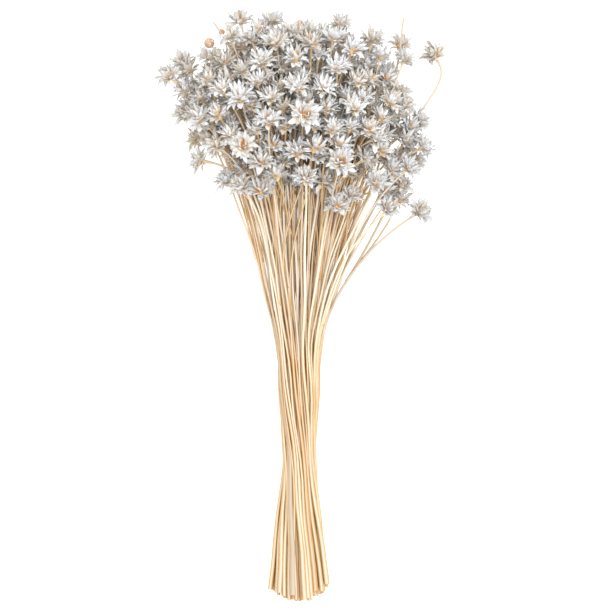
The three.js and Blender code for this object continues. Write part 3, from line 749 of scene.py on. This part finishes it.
def blade_corner(build, thickness, waves):
    """Where a corner of a blade goes, from its place on the blade and that blade's numbers."""
    across, along, face = build.field("across"), build.field("along"), build.field("face")
    outline = build.add("ShaderNodeFloatCurve", {"Value": along})
    points = outline.mapping.curves[0].points
    points[0].location, points[1].location = OUTLINE[0], OUTLINE[-1]
    for spot in OUTLINE[1:-1]:
        points.new(*spot)
    outline.mapping.update()
    width = build.product(outline.outputs[0], build.field("wide"))
    length = build.field("long")
    square = build.product(across, across)
    bow = build.math("SINE", build.product(along, math.pi))
    wave = build.math("SINE", build.math("MULTIPLY_ADD", along, 8.0, build.field("phase")))
    rise = build.total(
        build.product(bow, build.field("arch"), length),
        build.product(square, build.field("cup"), width),
        build.product(wave, across, waves, width),
        build.product(face, build.math("SUBTRACT", 1.0, square), thickness,
                      build.math("SUBTRACT", 1.15, along)),
    )
    angle = build.product(build.field("twist"), along)
    cosine, sine = build.math("COSINE", angle), build.math("SINE", angle)
    sideways = build.product(across, width)
    x = build.math("SUBTRACT", build.product(sideways, cosine), build.product(rise, sine))
    z = build.math("ADD", build.product(sideways, sine), build.product(rise, cosine))
    root, way, side = (build.field(name, "FLOAT_VECTOR") for name in ("root", "way", "side"))
    up = build.vector("CROSS_PRODUCT", side, way)
    spot = build.vector("ADD", root, build.vector("SCALE", way, build.product(along, length)))
    spot = build.vector("ADD", spot, build.vector("SCALE", side, x))
    spot = build.vector("ADD", spot, build.vector("SCALE", up, z))
    return build.vector("MAXIMUM", spot, ABOVE_TABLE)  # nothing dips into the table


def head_tree():
    tree = bpy.data.node_groups.new("flower_head", "GeometryNodeTree")
    add_inputs(tree, ("Points", "NodeSocketGeometry"), ("Blade", "NodeSocketObject"),
               ("Thickness", "NodeSocketFloat"), ("Waves", "NodeSocketFloat"),
               ("Egg sides", "NodeSocketInt"), ("Finish", "NodeSocketMaterial"))
    build = Nodes(tree)
    given = build.add("NodeGroupInput").outputs
    eggs, bracts = build.add("GeometryNodeSeparateGeometry",
                             {"Geometry": given["Points"], "Selection": build.field("egg")}).outputs
    blade = build.add("GeometryNodeObjectInfo", {"Object": given["Blade"]}).outputs["Geometry"]
    copies = build.add("GeometryNodeInstanceOnPoints", {"Points": bracts, "Instance": blade})
    blades = build.add("GeometryNodeRealizeInstances", {0: copies.outputs[0]}).outputs[0]
    spot = blade_corner(build, given["Thickness"], given["Waves"])
    blades = build.add("GeometryNodeSetPosition", {"Geometry": blades, "Position": spot}).outputs[0]

    ball = build.add("GeometryNodeMeshUVSphere", {0: given["Egg sides"], 1: 6, 2: 1.0}).outputs[0]
    way, size = build.field("way", "FLOAT_VECTOR"), build.field("side", "FLOAT_VECTOR")
    stand = build.add("FunctionNodeAlignRotationToVector", {"Vector": way}, axis="Z").outputs[0]
    eggs = build.add("GeometryNodeInstanceOnPoints",
                     {"Points": eggs, "Instance": ball, "Rotation": stand, "Scale": size})
    eggs = build.add("GeometryNodeRealizeInstances", {0: eggs.outputs[0]}).outputs[0]
    eggs = build.add("GeometryNodeSetShadeSmooth", {"Geometry": eggs}).outputs[0]

    both = build.add("GeometryNodeJoinGeometry")
    tree.links.new(blades, both.inputs[0])
    tree.links.new(eggs, both.inputs[0])
    done = build.add("GeometryNodeSetMaterial",
                     {"Geometry": both.outputs[0], "Material": given["Finish"]})
    build.add("NodeGroupOutput", {0: done.outputs[0]})
    return tree


HEAD_TREE = head_tree()
print("head tree:", len(HEAD_TREE.nodes), "nodes")

# %% [markdown]
# ## The bracts of one head
#
# The coarse bracts of the solid come first. Between them go finer ones in the order that plants use:
# each a golden angle further round and a little higher than the last, so none hides the one below.
# The lowest are short, broad petals that bend out and down, the middle ones spread, and the slim top
# ones stand up like a brush round a tuft of amber florets. A new bract that would lie on an old one is
# left out. Heads on top of the bunch nod back towards its far end, so most of them are seen half from
# the side. A few fine bracts have broken off, as in any dried bunch.

# %% Lay out the bracts as points
GOLDEN_ANGLE = math.radians(137.508)
SPIRAL = 44  # bracts in the spiral of one head
LOWEST_RISE, HIGHEST_RISE, RISE_RANGE = -0.35, 1.3, 0.35
BRACT_REACH = 14.6
APART = 0.2  # radians between two bracts at least
DROOP_BELOW, PETAL_REACH = -0.05, 0.76  # a bract that points lower than this is a shorter petal
WIDE_AT, WIDE = [0.15, 0.4, 1], [2.7, 2.25, 1.65]  # half widths in mm, by how high a bract sits
SLIM = 0.28  # a half width is no more than this share of the length
NOD, LOOK_UP, LOOK_FAR, LOOK_ASTRAY = 0.45, 0.7, 0.9, 0.3
HAND_NOD = 0.3  # the listed flowers nod less
FLORETS, FLORET_HALF = 14, 0.46  # how many, and half the width of one in mm
EGG_HALF, EGG_SUNK = np.array([2.5, 2.5, 3.1]), 0.4
BROKEN = 0.08  # share of the finer bracts that broke off
RIM_SHADE, RIM_SHADE_FROM = 0.28, 0.7  # how much painted shade at the rim, and from which share of the way to it
SIDE_GROUP = 24  # heads in one piece, where they have no solid of their own
TABLE_GAP, BUD_AIR = 0.25, 1.5
SHAPE_FIELDS = ("root", "way", "side", "long", "wide", "arch", "cup", "twist", "phase", "egg")
FIELDS = SHAPE_FIELDS + ("tint", "amber", "floret", "dull")


def point(**numbers):
    """A point with these numbers and 0 for the others."""
    return {**dict.fromkeys(FIELDS, 0), **numbers}


def head_frame(axis):
    helper = np.array([0, 0, 1.0]) if abs(axis[2]) < 0.9 else np.array([1.0, 0, 0])
    x = unit(np.cross(helper, axis))
    return x, np.cross(axis, x)


def opening(head, draw):
    """The way a flower opens: its axis, nodding towards the far end of the bunch.

    Heads low in the crown look up instead, so that none opens into the table."""
    stray = np.array([draw() - 0.5, draw() - 0.5, draw() - 0.5])
    nod = NOD * (HAND_NOD if head.by_hand else 1) * max(0, head.axis[2])
    lift = LOOK_UP * max(0, 0.5 - head.axis[2])
    far = 0 if head.by_hand else LOOK_FAR * max(0, 0.5 - head.axis[1])
    return unit(head.axis + np.array([0, nod + far, lift - nod]) + LOOK_ASTRAY * stray)


def dullness(head):
    """How much painted shade a head gets for standing at the crown's rim."""
    outwards = np.linalg.norm(((head.at - CROWN) / CROWN_HALF)[:2])
    return np.interp(outwards, [RIM_SHADE_FROM, 1], [0, RIM_SHADE])


def bract_point(head, open_way, reach, draw, tone_and_painted_shade):
    """The numbers of one bract that ends at reach from the head's middle, all in millimetres."""
    size = head.size
    way = unit(reach)
    rise = math.asin(np.clip(way @ open_way, -1, 1))
    height = np.clip((rise + 0.4) / 1.7, 0, 1)
    if rise < DROOP_BELOW:
        reach = reach * (PETAL_REACH + 0.25 * draw())
    radial = unit(way - open_way * (way @ open_way) + 1e-6 * head_frame(open_way)[0])
    root = open_way * (-1.9 + 3.2 * height) * size + radial * (2.0 - 1.4 * height) * size
    tip = np.array(reach)
    tip[2] = max(tip[2], TABLE_GAP - head.at[2])
    chord = tip - root
    way = unit(chord)
    side = unit(np.cross(way, open_way) + 1e-6 * radial)
    wide = np.interp(height, WIDE_AT, WIDE) * size * (0.8 + 0.35 * draw())
    length = np.linalg.norm(chord)
    return point(
        root=metres(head.at + root), way=way, side=side, long=length * MM,
        wide=min(wide, SLIM * length) * MM,
        arch=0.2 - 0.36 * height + 0.24 * (draw() - 0.5), cup=0.3 + 0.5 * draw(),
        twist=1.7 * (draw() - 0.5), phase=6.3 * draw(),
        tint=np.clip(tone_and_painted_shade + 0.55 * (draw() - 0.5), 0, 1), dull=dullness(head),
        amber=np.clip((0.2 + 1.1 * height) * (0.45 + 0.9 * draw()), 0, 1))


def hides_bud(at, reach):
    """Whether a bract from at, as long as reach, lies over one of the left buds, seen from above."""
    for bud in buds[:2]:
        way = (bud.at - at)[:2]
        share = np.clip(way @ reach[:2] / (reach[:2] @ reach[:2]), 0, 1)
        if np.linalg.norm(way - share * reach[:2]) < bud.size + BUD_AIR:
            return True
    return False


def head_points(head, draw):
    # Painted shade: the deeper a head sits in the crown, the lower its tints and the darker and warmer
    # its bracts. The draw gives each head a tone of its own.
    tone_and_painted_shade = 0.45 * draw() + np.interp(head.at[2], [20, 100], [0.1, 0.6])
    open_way = opening(head, draw)
    x, y = head_frame(open_way)
    turn = 6.3 * draw()
    points = [bract_point(head, open_way, reach * (0.98 + 0.2 * draw()), draw, tone_and_painted_shade)
              for reach in head.tips if not hides_bud(head.at, reach)]
    ways = [unit(reach) for reach in head.tips]
    for k in range(SPIRAL):
        share = k / (SPIRAL - 1)
        rise = LOWEST_RISE + (HIGHEST_RISE - LOWEST_RISE) * share + RISE_RANGE * (draw() - 0.5)
        angle = turn + k * GOLDEN_ANGLE + 0.5 * (draw() - 0.5)
        out = math.cos(angle) * x + math.sin(angle) * y
        out = math.cos(rise) * out + math.sin(rise) * open_way
        length = BRACT_REACH * head.size * (0.76 + 0.26 * share) * (0.72 + 0.4 * draw())
        near = any(math.acos(np.clip(out @ way, -1, 1)) < APART for way in ways)
        broken = draw() < BROKEN or (out * length)[2] + head.at[2] < TABLE_GAP
        if near or broken or hides_bud(head.at, out * length):
            continue
        ways.append(out)
        points.append(bract_point(head, open_way, out * length, draw, tone_and_painted_shade))
    for k in range(FLORETS):
        angle, lean = turn + k * GOLDEN_ANGLE, 0.15 + 0.7 * draw()
        out = unit(open_way + lean * (math.cos(angle) * x + math.sin(angle) * y))
        side = unit(np.cross(out, x))
        root = head.at + (1.4 * open_way + 1.1 * (out - open_way)) * head.size
        points.append(point(
            root=metres(root), way=out, side=side, long=(5.5 + 2.8 * draw()) * head.size * MM,
            wide=FLORET_HALF * head.size * MM, arch=0.03, tint=draw(), amber=1, floret=1))
    points.append(point(
        root=metres(head.at - EGG_SUNK * head.size * head.axis), way=open_way,
        side=EGG_HALF * head.size * MM, tint=0.3, amber=0.8, dull=dullness(head), egg=1))
    return points


def point_mesh(name, points, fields):
    mesh = bpy.data.meshes.new(name)
    mesh.from_pydata([tuple(point["root"]) for point in points], [], [])
    for field in fields:
        store(mesh, field, [point[field] for point in points])
    return mesh


def grow(piece, tree, **inputs):
    """Runs a node tree on a piece and keeps the result as a plain mesh, without the shaping numbers."""
    modifier = piece.modifiers.new("grow", "NODES")
    modifier.node_group = tree
    for item in tree.interface.items_tree:
        if item.in_out == "INPUT" and item.name in inputs:
            modifier[item.identifier] = inputs[item.name]
    depsgraph = bpy.context.evaluated_depsgraph_get()
    grown = piece.evaluated_get(depsgraph)
    mesh = bpy.data.meshes.new_from_object(
        grown, preserve_all_data_layers=True, depsgraph=depsgraph)
    piece.modifiers.remove(modifier)
    piece.data = mesh
    for name in set(mesh.attributes.keys()) & {*SHAPE_FIELDS, "face"}:
        mesh.attributes.remove(mesh.attributes[name])
    return piece


def new_piece(name, mesh):
    piece = bpy.data.objects.new(name, mesh)
    bpy.context.scene.collection.objects.link(piece)
    return piece


def head_piece(name, group, draw, blade):
    points = [point for head in group for point in head_points(head, draw)]
    piece = new_piece(name, point_mesh(name, points, FIELDS))
    grow(piece, HEAD_TREE, **{"Blade": blade, "Thickness": 0.00022, "Waves": 0.16, "Egg sides": 8,
                              "Finish": SILVER})
    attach(piece, "root")
    return piece


def triangles(*pieces):
    return sum(len(p.vertices) - 2 for piece in pieces for p in piece.data.polygons)


draw = seeded(SEED + 2)
crown = [head_piece("fine_" + node, heads_of[node], draw, BLADE) for node in head_nodes]
for piece, node in zip(crown, head_nodes):
    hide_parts(node)
for k in range(0, BRANCHES, SIDE_GROUP):
    group = branches[k:k + SIDE_GROUP]
    crown.append(head_piece(f"side_heads_{k // SIDE_GROUP + 1}", group, draw, PLAIN_BLADE))
print(len(crown), "pieces of flower heads,", triangles(*crown), "triangles")

# %% [markdown]
# ## The finish of a stem
#
# Dried straw is cream with an orange cast and finely grooved from end to end. The side of a stem that
# faces up gets a painted highlight, paler where the light from above falls. No two stems have the same
# tone. The grooves follow the stem, so the material reads how far round and how far along it is, with
# the way round written as a circle so that no seam shows. The node tree below also notes how far up
# each corner faces, for the painted highlight.

# %% The material of the stems
def stem_material():
    paint = Paint("straw_stem")
    run, around = paint.attribute("run"), paint.attribute("around")
    tint, pith = paint.attribute("tint"), paint.attribute("pith")
    angle = paint.product(around, 2 * math.pi)
    shift = paint.product(tint, 47.0)
    ring = (paint.math("COSINE", angle), paint.math("SINE", angle))
    fine = paint.noise(paint.combine(*ring, paint.math("MULTIPLY_ADD", run, 14.0, shift)), 3.2, 3.0)
    broad = paint.noise(paint.combine(*ring, paint.math("MULTIPLY_ADD", run, 9.0, shift)), 0.8)
    warm = paint.mix(paint.ramp(tint, 0.05, 0.95), 0xE6D09A, 0xBE8A38)
    colour = paint.mix(paint.ramp(fine, 0.38, 0.66), paint.mix(0.5, warm, 0xAA7220), warm)
    patches = paint.product(paint.ramp(broad, 0.5, 0.72), 0.5)
    colour = paint.mix(patches, colour, 0xE8DCC0)
    # Upper stems are paler, as the thin straw near the heads is, and also painted lighter where the
    # crown shades the fan.
    high = paint.product(paint.ramp(run, 1.7, 2.9), paint.math("MULTIPLY_ADD", tint, -0.5, 0.87))
    colour = paint.mix(high, colour, 0xF2ECDE)
    low = paint.product(paint.ramp(run, 2.8, 1.2), 0.62)
    colour = paint.mix(low, colour, 0xBE8A3A)
    # Painted highlight: the side of a stem that faces up is mixed paler, as if lit from above.
    painted_top_light = paint.product(paint.ramp(paint.attribute("upward"), 0.7, 1.0),
                             paint.ramp(paint.attribute("thick"), 0.0003, 0.0007),
                             paint.math("MULTIPLY_ADD", tint, -0.4, 1.0))
    colour = paint.mix(painted_top_light, colour, 0xDDD6C8)
    # Painted shade: the stems are mixed darker towards their cut ends, against the glow of the table
    # under them.
    foot = paint.product(paint.ramp(run, 2.0, 0.3), 0.16)
    colour = paint.mix(foot, colour, 0xB8A888)
    thin = paint.product(paint.ramp(paint.attribute("thick"), 0.001, 0.0005), 0.65)
    colour = paint.mix(thin, colour, 0xC09858)
    lone = paint.product(paint.attribute("lone"), 0.45)  # darker, or the bright table swallows it
    colour = paint.mix(lone, colour, 0xA1A198)
    neck = paint.product(paint.attribute("neck"), 0.3)
    colour = paint.mix(neck, colour, 0xEAD9B6)
    colour = paint.mix(pith, colour, 0xE9D6B4)
    shader = paint.shader.inputs
    shader["Specular IOR Level"].default_value = 0.35
    shader["Coat Weight"].default_value = 0.08
    shader["Coat Roughness"].default_value = 0.35
    roughness = paint.math("MULTIPLY_ADD", fine, 0.2, 0.42)
    return paint.finish(colour, roughness, fine, 0.35, 0.0002)


STRAW = stem_material()
print("finish:", STRAW.name)

# %% [markdown]
# ## Stems that taper
#
# A stem could be a curve with a bevel, but all of them would then be as many objects. Here they are
# one mesh of bare lines, each point with its own thickness. The tree turns the lines into curves and
# sweeps a ring along them. Stems are thickest at the cut end, thinnest below the head, and swell
# again into a neck that carries it. The first few points nearly coincide: they draw the flat cut face
# with a ring of pith.

# %% The node tree of the stems
def stem_tree():
    tree = bpy.data.node_groups.new("stems", "GeometryNodeTree")
    add_inputs(tree, ("Lines", "NodeSocketGeometry"), ("Sides", "NodeSocketInt"),
               ("Finish", "NodeSocketMaterial"))
    build = Nodes(tree)
    given = build.add("NodeGroupInput").outputs
    curves = build.add("GeometryNodeMeshToCurve", {0: given["Lines"]}).outputs[0]
    ring = build.add("GeometryNodeCurvePrimitiveCircle",
                     {"Resolution": given["Sides"], "Radius": 1.0})
    share = build.add("GeometryNodeSplineParameter").outputs["Factor"]
    ring = build.add("GeometryNodeStoreNamedAttribute",
                     {"Geometry": ring.outputs[0], "Name": "around", "Value": share},
                     data_type="FLOAT", domain="POINT").outputs[0]
    swept = build.add("GeometryNodeCurveToMesh",
                      {"Curve": curves, "Profile Curve": ring, "Scale": build.field("thick"),
                       "Fill Caps": True}).outputs[0]
    smooth = build.add("GeometryNodeSetShadeSmooth", {"Geometry": swept}).outputs[0]
    normal = build.add("GeometryNodeInputNormal").outputs[0]
    upward = build.add("ShaderNodeSeparateXYZ", {0: normal}).outputs[2]
    real = build.add("GeometryNodeRealizeInstances", {0: smooth}).outputs[0]
    real = build.add("GeometryNodeStoreNamedAttribute",
                     {"Geometry": real, "Name": "upward", "Value": upward},
                     data_type="FLOAT", domain="POINT").outputs[0]
    done = build.add("GeometryNodeSetMaterial", {"Geometry": real, "Material": given["Finish"]})
    build.add("NodeGroupOutput", {0: done.outputs[0]})
    return tree


STEM_TREE = stem_tree()
print("stem tree:", len(STEM_TREE.nodes), "nodes")

# %% [markdown]
# ## The lines of the stems
#
# Each line passes the same places as the solid stem: cut end, waist, fan, the curve up to the collar
# and the seat under the head. Straight stretches would show a corner at the waist, so the line is a
# smooth curve through those places, with a faint wander of its own, as dried stalks have. The few
# stems that stand alone beside the bunch are a little thicker and darker.

# %% Draw the lines
CUT_STEM, WAIST_STEM, FAN_STEM, NECK_STEM, COLLAR_STEM = 2.05, 1.3, 1.0, 0.78, 1.35  # radii in mm
SHOOT_FOOT, SHOOT_TOP, SHOOT_SEAT = 0.85, 0.7, 1.15  # of a side branch
BUD_NECK, BUD_SEAT, BARE_TIP = 0.6, 0.9, 0.65
LONE_TINT, LONE_THICK = 1.05, 1.25  # of the stems with nothing but the table beside them
CUT_STRAY = np.array([1.7, 2.2, 0])  # how far a cut end strays in the scene alone
STEM_STEPS, SHOOT_STEPS, WANDER = 30, 18, 0.7
SEAT_DEPTH = 0.9  # how far a stem reaches into its head
CUT_FACE = [(0, 0.05, 1), (0.02, 0.5, 1), (0.04, 0.58, 0.3), (0.06, 0.93, 0.2), (0.3, 1, 0)]
ABOVE = 0.05  # air under a stem that lies on the table
NECK_LONG, NECK_FADE = 70, 60  # length of the pale stretch below a head, and of its fading in
STEM_FIELDS = ("thick", "pith", "run", "neck", "tint", "lone")


def smooth_line(knots, steps):
    """Points of a smooth curve through the knots, at steps measured from knot to knot."""
    gaps = np.linalg.norm(np.diff(knots, axis=0), axis=1)
    at = np.concatenate([[0], np.cumsum(gaps)])
    slopes = np.diff(knots, axis=0) / gaps[:, None]
    inner = slopes[:-1] * gaps[1:, None] + slopes[1:] * gaps[:-1, None]
    inner = inner / (gaps[1:] + gaps[:-1])[:, None]
    tangents = np.vstack([slopes[:1], inner, slopes[-1:]])
    k = np.clip(np.searchsorted(at, steps, side="right") - 1, 0, len(gaps) - 1)
    h = gaps[k][:, None]
    t = ((steps - at[k]) / gaps[k])[:, None]
    return ((2 * t**3 - 3 * t**2 + 1) * knots[k] + (t**3 - 2 * t**2 + t) * h * tangents[k]
            + (-2 * t**3 + 3 * t**2) * knots[k + 1] + (t**3 - t**2) * h * tangents[k + 1])


def stem_line(flower, draw):
    """Points, radii and marks of one stem, in millimetres."""
    aside = bundle_point(flower.disc, CUT, 0)[0] / CUT.radius
    cut = bundle_point(flower.disc, CUT, SPLAY_LIFT * aside**2 + STAGGER * flower.stagger)
    cut = cut + CUT_STRAY * np.array([2 * draw() - 1, draw(), 0])
    waist = bundle_point(flower.disc, WAIST, WAIST.y)
    curve = along_curve(fan_curve(flower), [0, 0.2, 0.4, 0.6, 0.8, 1])
    base, collar = neck(flower)
    knots = np.vstack([cut, (cut + waist) / 2, waist, (waist + curve[0]) / 2, curve, base])
    places = np.concatenate([[0], np.cumsum(np.linalg.norm(np.diff(knots, axis=0), axis=1))])
    girth, foot = 0.82 + 0.4 * draw() ** 1.5, 0.9 + 0.3 * draw()
    tops = dict(head=(NECK_STEM, COLLAR_STEM), bare=(NECK_STEM, BARE_TIP), bud=(BUD_NECK, BUD_SEAT))
    tops = [top / girth for top in tops[flower.kind]]  # the neck doesn't share in the stem's girth
    marks = [0, places[2], places[4], places[-2], places[-1]]
    radii = np.array([CUT_STEM * foot, WAIST_STEM, FAN_STEM, *tops]) * girth
    end = places[-1]
    steps = 0.5 + (places[-2] - 0.5) * (1 - np.linspace(1, 0, STEM_STEPS) ** 1.5)
    steps = np.concatenate([steps, places[-2] + np.array([2.5, 5]), [end]])
    line = smooth_line(knots, steps)
    radius = np.interp(steps, marks, radii)
    free = np.clip(steps / 40, 0, 1) * np.clip((end - steps) / 60, 0, 1)
    for axis in (0, 2):
        line[:, axis] += WANDER * free * np.sin(steps / (13 + 9 * draw()) + 6.3 * draw())
    way = unit(line[1] - line[0])
    face = np.array([line[0] + way * (back - 0.5) for back, _, _ in CUT_FACE])
    line = np.vstack([face, line])
    radius = np.concatenate([[share * radius[0] for _, share, _ in CUT_FACE], radius])
    pith = np.concatenate([[mark for _, _, mark in CUT_FACE], np.zeros(len(steps))])
    run = np.concatenate([[0] * len(CUT_FACE), steps])
    neck_share = np.clip((run - end + NECK_LONG) / NECK_FADE, 0, 1) * (flower.kind != "bare")
    if flower.kind != "bare":
        line = np.vstack([line, line[-1] + flower.axis * SEAT_DEPTH])
        radius, pith, run, neck_share = (
            np.append(column, column[-1]) for column in (radius, pith, run, neck_share))
    return line, radius, pith, run, neck_share


def branch_line(branch, draw):
    """The same for a side branch, which starts inside its stem."""
    base, collar = neck(branch)
    length = np.linalg.norm(collar - branch.start)
    bend = 0.36 * length
    controls = np.array([branch.start, branch.start + branch.way * bend,
                         collar - branch.axis * bend, collar])
    curve = along_curve(controls, 1 - np.linspace(1, 0, SHOOT_STEPS) ** 1.3)
    line = np.vstack([curve, (collar + base) / 2, base, base + branch.axis * SEAT_DEPTH])
    radius = np.concatenate([np.linspace(SHOOT_FOOT, SHOOT_TOP, SHOOT_STEPS),
                             [SHOOT_FOOT, SHOOT_SEAT, SHOOT_SEAT]]) * (0.86 + 0.28 * draw())
    run = np.concatenate([[0], np.cumsum(np.linalg.norm(np.diff(line, axis=0), axis=1))])
    neck_share = np.clip((run - run[-1] + NECK_LONG) / NECK_FADE, 0, 1)
    return line, radius, np.zeros(len(line)), run, neck_share


def straw_piece(name, flowers, lines, draw):
    spots, edges, marks = [], [], {key: [] for key in STEM_FIELDS}
    for flower, (line, radius, pith, run, neck_share) in zip(flowers, lines):
        alone = any(flower is other for other in lone)
        radius = radius * (LONE_THICK if alone else 1)
        line[:, 2] = np.maximum(line[:, 2], radius + ABOVE)
        edges += [(len(spots) + i, len(spots) + i + 1) for i in range(len(line) - 1)]
        spots += [tuple(p) for p in metres(line)]
        tint = max(draw(), LONE_TINT * alone)
        columns = (radius * MM, pith, run / 100, neck_share, np.full(len(line), tint),
                   np.full(len(line), float(alone)))
        for key, values in zip(marks, columns):
            marks[key] += list(values)
    mesh = bpy.data.meshes.new(name)
    mesh.from_pydata(spots, edges, [])
    for key, values in marks.items():
        store(mesh, key, values)
    piece = grow(new_piece(name, mesh), STEM_TREE, Sides=9, Finish=STRAW)
    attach(piece, "root")
    return piece


draw = seeded(SEED + 3)
bare = [flower for flower in flowers if flower.kind == "bare"]
lone = heads[:3] + bare + branches[-len(EDGE_SHOOTS):]
lines = [stem_line(flower, draw) for flower in flowers]
stems = straw_piece("fine_stems", flowers, lines, draw)
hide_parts("stems")
lines = [branch_line(branch, draw) for branch in branches]
shoots = straw_piece("side_branches", branches, lines, draw)
print("stems:", triangles(stems), "triangles; side branches:", triangles(shoots))

# %% [markdown]
# ## The closed buds
#
# Three flowers never opened. A closed bud is a ball of scales that lie on each other like tiles, tan
# with a pink or amber cast. It is grown from the same blades: each starts below, hugs the ball and
# ends near its top.

# %% Grow the buds
BUD_RINGS, BUD_AMBER = 6, (0.5, 1.0, 1.0)
SCALE_OUT, BALL_SHARE = 1.03, 0.97  # how far out the scales lie, and the ball, in radii of the bud


def bud_material():
    paint = Paint("tan_bud")
    along, across, tint = (paint.attribute(name) for name in ("along", "across", "tint"))
    ribs = paint.combine(paint.product(across, 4.0), along, paint.product(tint, 23.0))
    lines = paint.noise(ribs, 2.0)
    scale = paint.mix(tint, 0xCBA88C, 0xF6EADC)
    colour = paint.mix(paint.ramp(lines, 0.35, 0.65), paint.mix(0.4, scale, 0xA67C5E), scale)
    amber = paint.attribute("amber")
    colour = paint.mix(paint.product(amber, amber, 0.5), colour, 0xEDB468)
    colour = paint.mix(paint.product(paint.ramp(along, 0.6, 0.0), amber), colour, 0xD98F45)
    rim = paint.product(paint.ramp(paint.math("ABSOLUTE", across), 0.55, 0.95), 0.65)
    colour = paint.mix(rim, colour, 0x9A7256)
    paint.shader.inputs["Specular IOR Level"].default_value = 0.35
    return paint.finish(colour, paint.math("MULTIPLY_ADD", lines, 0.2, 0.5), lines, 0.4, 0.0002)


def bud_points(bud, draw):
    """Scales in rings round a ball, and the ball itself."""
    x, y = head_frame(bud.axis)
    points = []

    def spot(out, rise):
        return (math.cos(rise) * out + math.sin(rise) * bud.axis) * bud.size * SCALE_OUT

    for ring in range(BUD_RINGS):
        start, end, count = -1.3 + 0.36 * ring, -0.55 + 0.4 * ring, 9 - ring // 2
        for k in range(count):
            angle = 2 * math.pi * (k + 0.5 * (ring % 2)) / count + 0.1 * draw()
            out = math.cos(angle) * x + math.sin(angle) * y
            root, tip = spot(out, start), spot(out, end)
            way = unit(tip - root)
            points.append(point(
                root=metres(bud.at + root), way=way,
                side=unit(np.cross(way, bud.axis) + 1e-6 * out),
                long=np.linalg.norm(tip - root) * MM, wide=0.3 * bud.size * MM, arch=-0.13,
                cup=0.35, tint=draw(), amber=bud.amber * (0.6 + 0.4 * draw())))
    points.append(point(
        root=metres(bud.at), way=bud.axis, side=np.ones(3) * bud.size * BALL_SHARE * MM, tint=0.4,
        egg=1))
    return points


TAN = bud_material()
draw = seeded(SEED + 4)
for number, (bud, amber) in enumerate(zip(buds, BUD_AMBER), 1):
    bud.amber = amber
    piece = new_piece(f"fine_bud_{number}", point_mesh("bud", bud_points(bud, draw), FIELDS))
    grow(piece, HEAD_TREE, **{"Blade": BLADE, "Thickness": 0.0002, "Waves": 0.0, "Egg sides": 16,
                              "Finish": TAN})
    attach(piece, "root")
    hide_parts(f"bud_{number}")
bpy.data.objects.remove(BLADE)
bpy.data.objects.remove(PLAIN_BLADE)
print(len(buds), "buds")

# %% [markdown]
# ## Table, light and camera
#
# The bunch lies down, because cut stems can't stand, and the camera looks straight down on it from
# far away, so that the outline has no strong perspective. The table is white and glows a little, as a
# light table does, so that no shadow of the bunch shows on it. One wide sun, nearly overhead, gives
# each bract its shade, and the white sky fills the rest.

# %% Set the stage
def white_table():
    paint = Paint("white_table")
    place = paint.add("ShaderNodeTexCoord").outputs["Object"]
    speck = paint.noise(place, 40.0)
    colour = paint.mix(paint.product(speck, 0.05), 0xFFFFFF, 0xF2F0ED)
    paint.shader.inputs["Emission Color"].default_value = (1, 1, 1, 1)
    paint.shader.inputs["Emission Strength"].default_value = 0.4
    return paint.finish(colour, paint.math("MULTIPLY_ADD", speck, 0.05, 0.85), speck, 0.02, 0.0001)


TABLE_HALF = 4
table_mesh = bpy.data.meshes.new("table")
table_corners = [(x * TABLE_HALF, y * TABLE_HALF, 0) for x, y in ((-1, -1), (1, -1), (1, 1), (-1, 1))]
table_mesh.from_pydata(table_corners, [], [(0, 1, 2, 3)])
table_mesh.materials.append(white_table())
table = new_piece("table", table_mesh)

sun = bpy.data.objects.new("sun", bpy.data.lights.new("sun", "SUN"))
sun.data.energy = 1.9
sun.data.angle = math.radians(40)
sun.rotation_euler = Vector((0.18, 0.14, 1)).to_track_quat("Z", "Y").to_euler()
bpy.context.scene.collection.objects.link(sun)

world = bpy.data.worlds.new("white_room")
world.use_nodes = True
world.node_tree.nodes["Background"].inputs[0].default_value = (1, 1, 1, 1)
world.node_tree.nodes["Background"].inputs[1].default_value = 1.12
bpy.context.scene.world = world

PICTURE_WIDTH = 0.5145  # of the picture's frame on the table, in metres
CAMERA_HEIGHT = 3.5
CROWN_HEIGHT = 0.055  # the frame has its width at this height
camera = bpy.data.objects.new("camera", bpy.data.cameras.new("camera"))
camera.location = (0.0030, 0.0014, CAMERA_HEIGHT)
SENSOR_WIDTH = 36
camera.data.sensor_width = SENSOR_WIDTH
camera.data.lens = SENSOR_WIDTH * (CAMERA_HEIGHT - CROWN_HEIGHT) / PICTURE_WIDTH
camera.data.clip_end = 20
bpy.context.scene.collection.objects.link(camera)
bpy.context.scene.camera = camera
bpy.context.scene.view_settings.view_transform = "Standard"
print("camera", CAMERA_HEIGHT, "m above the table")
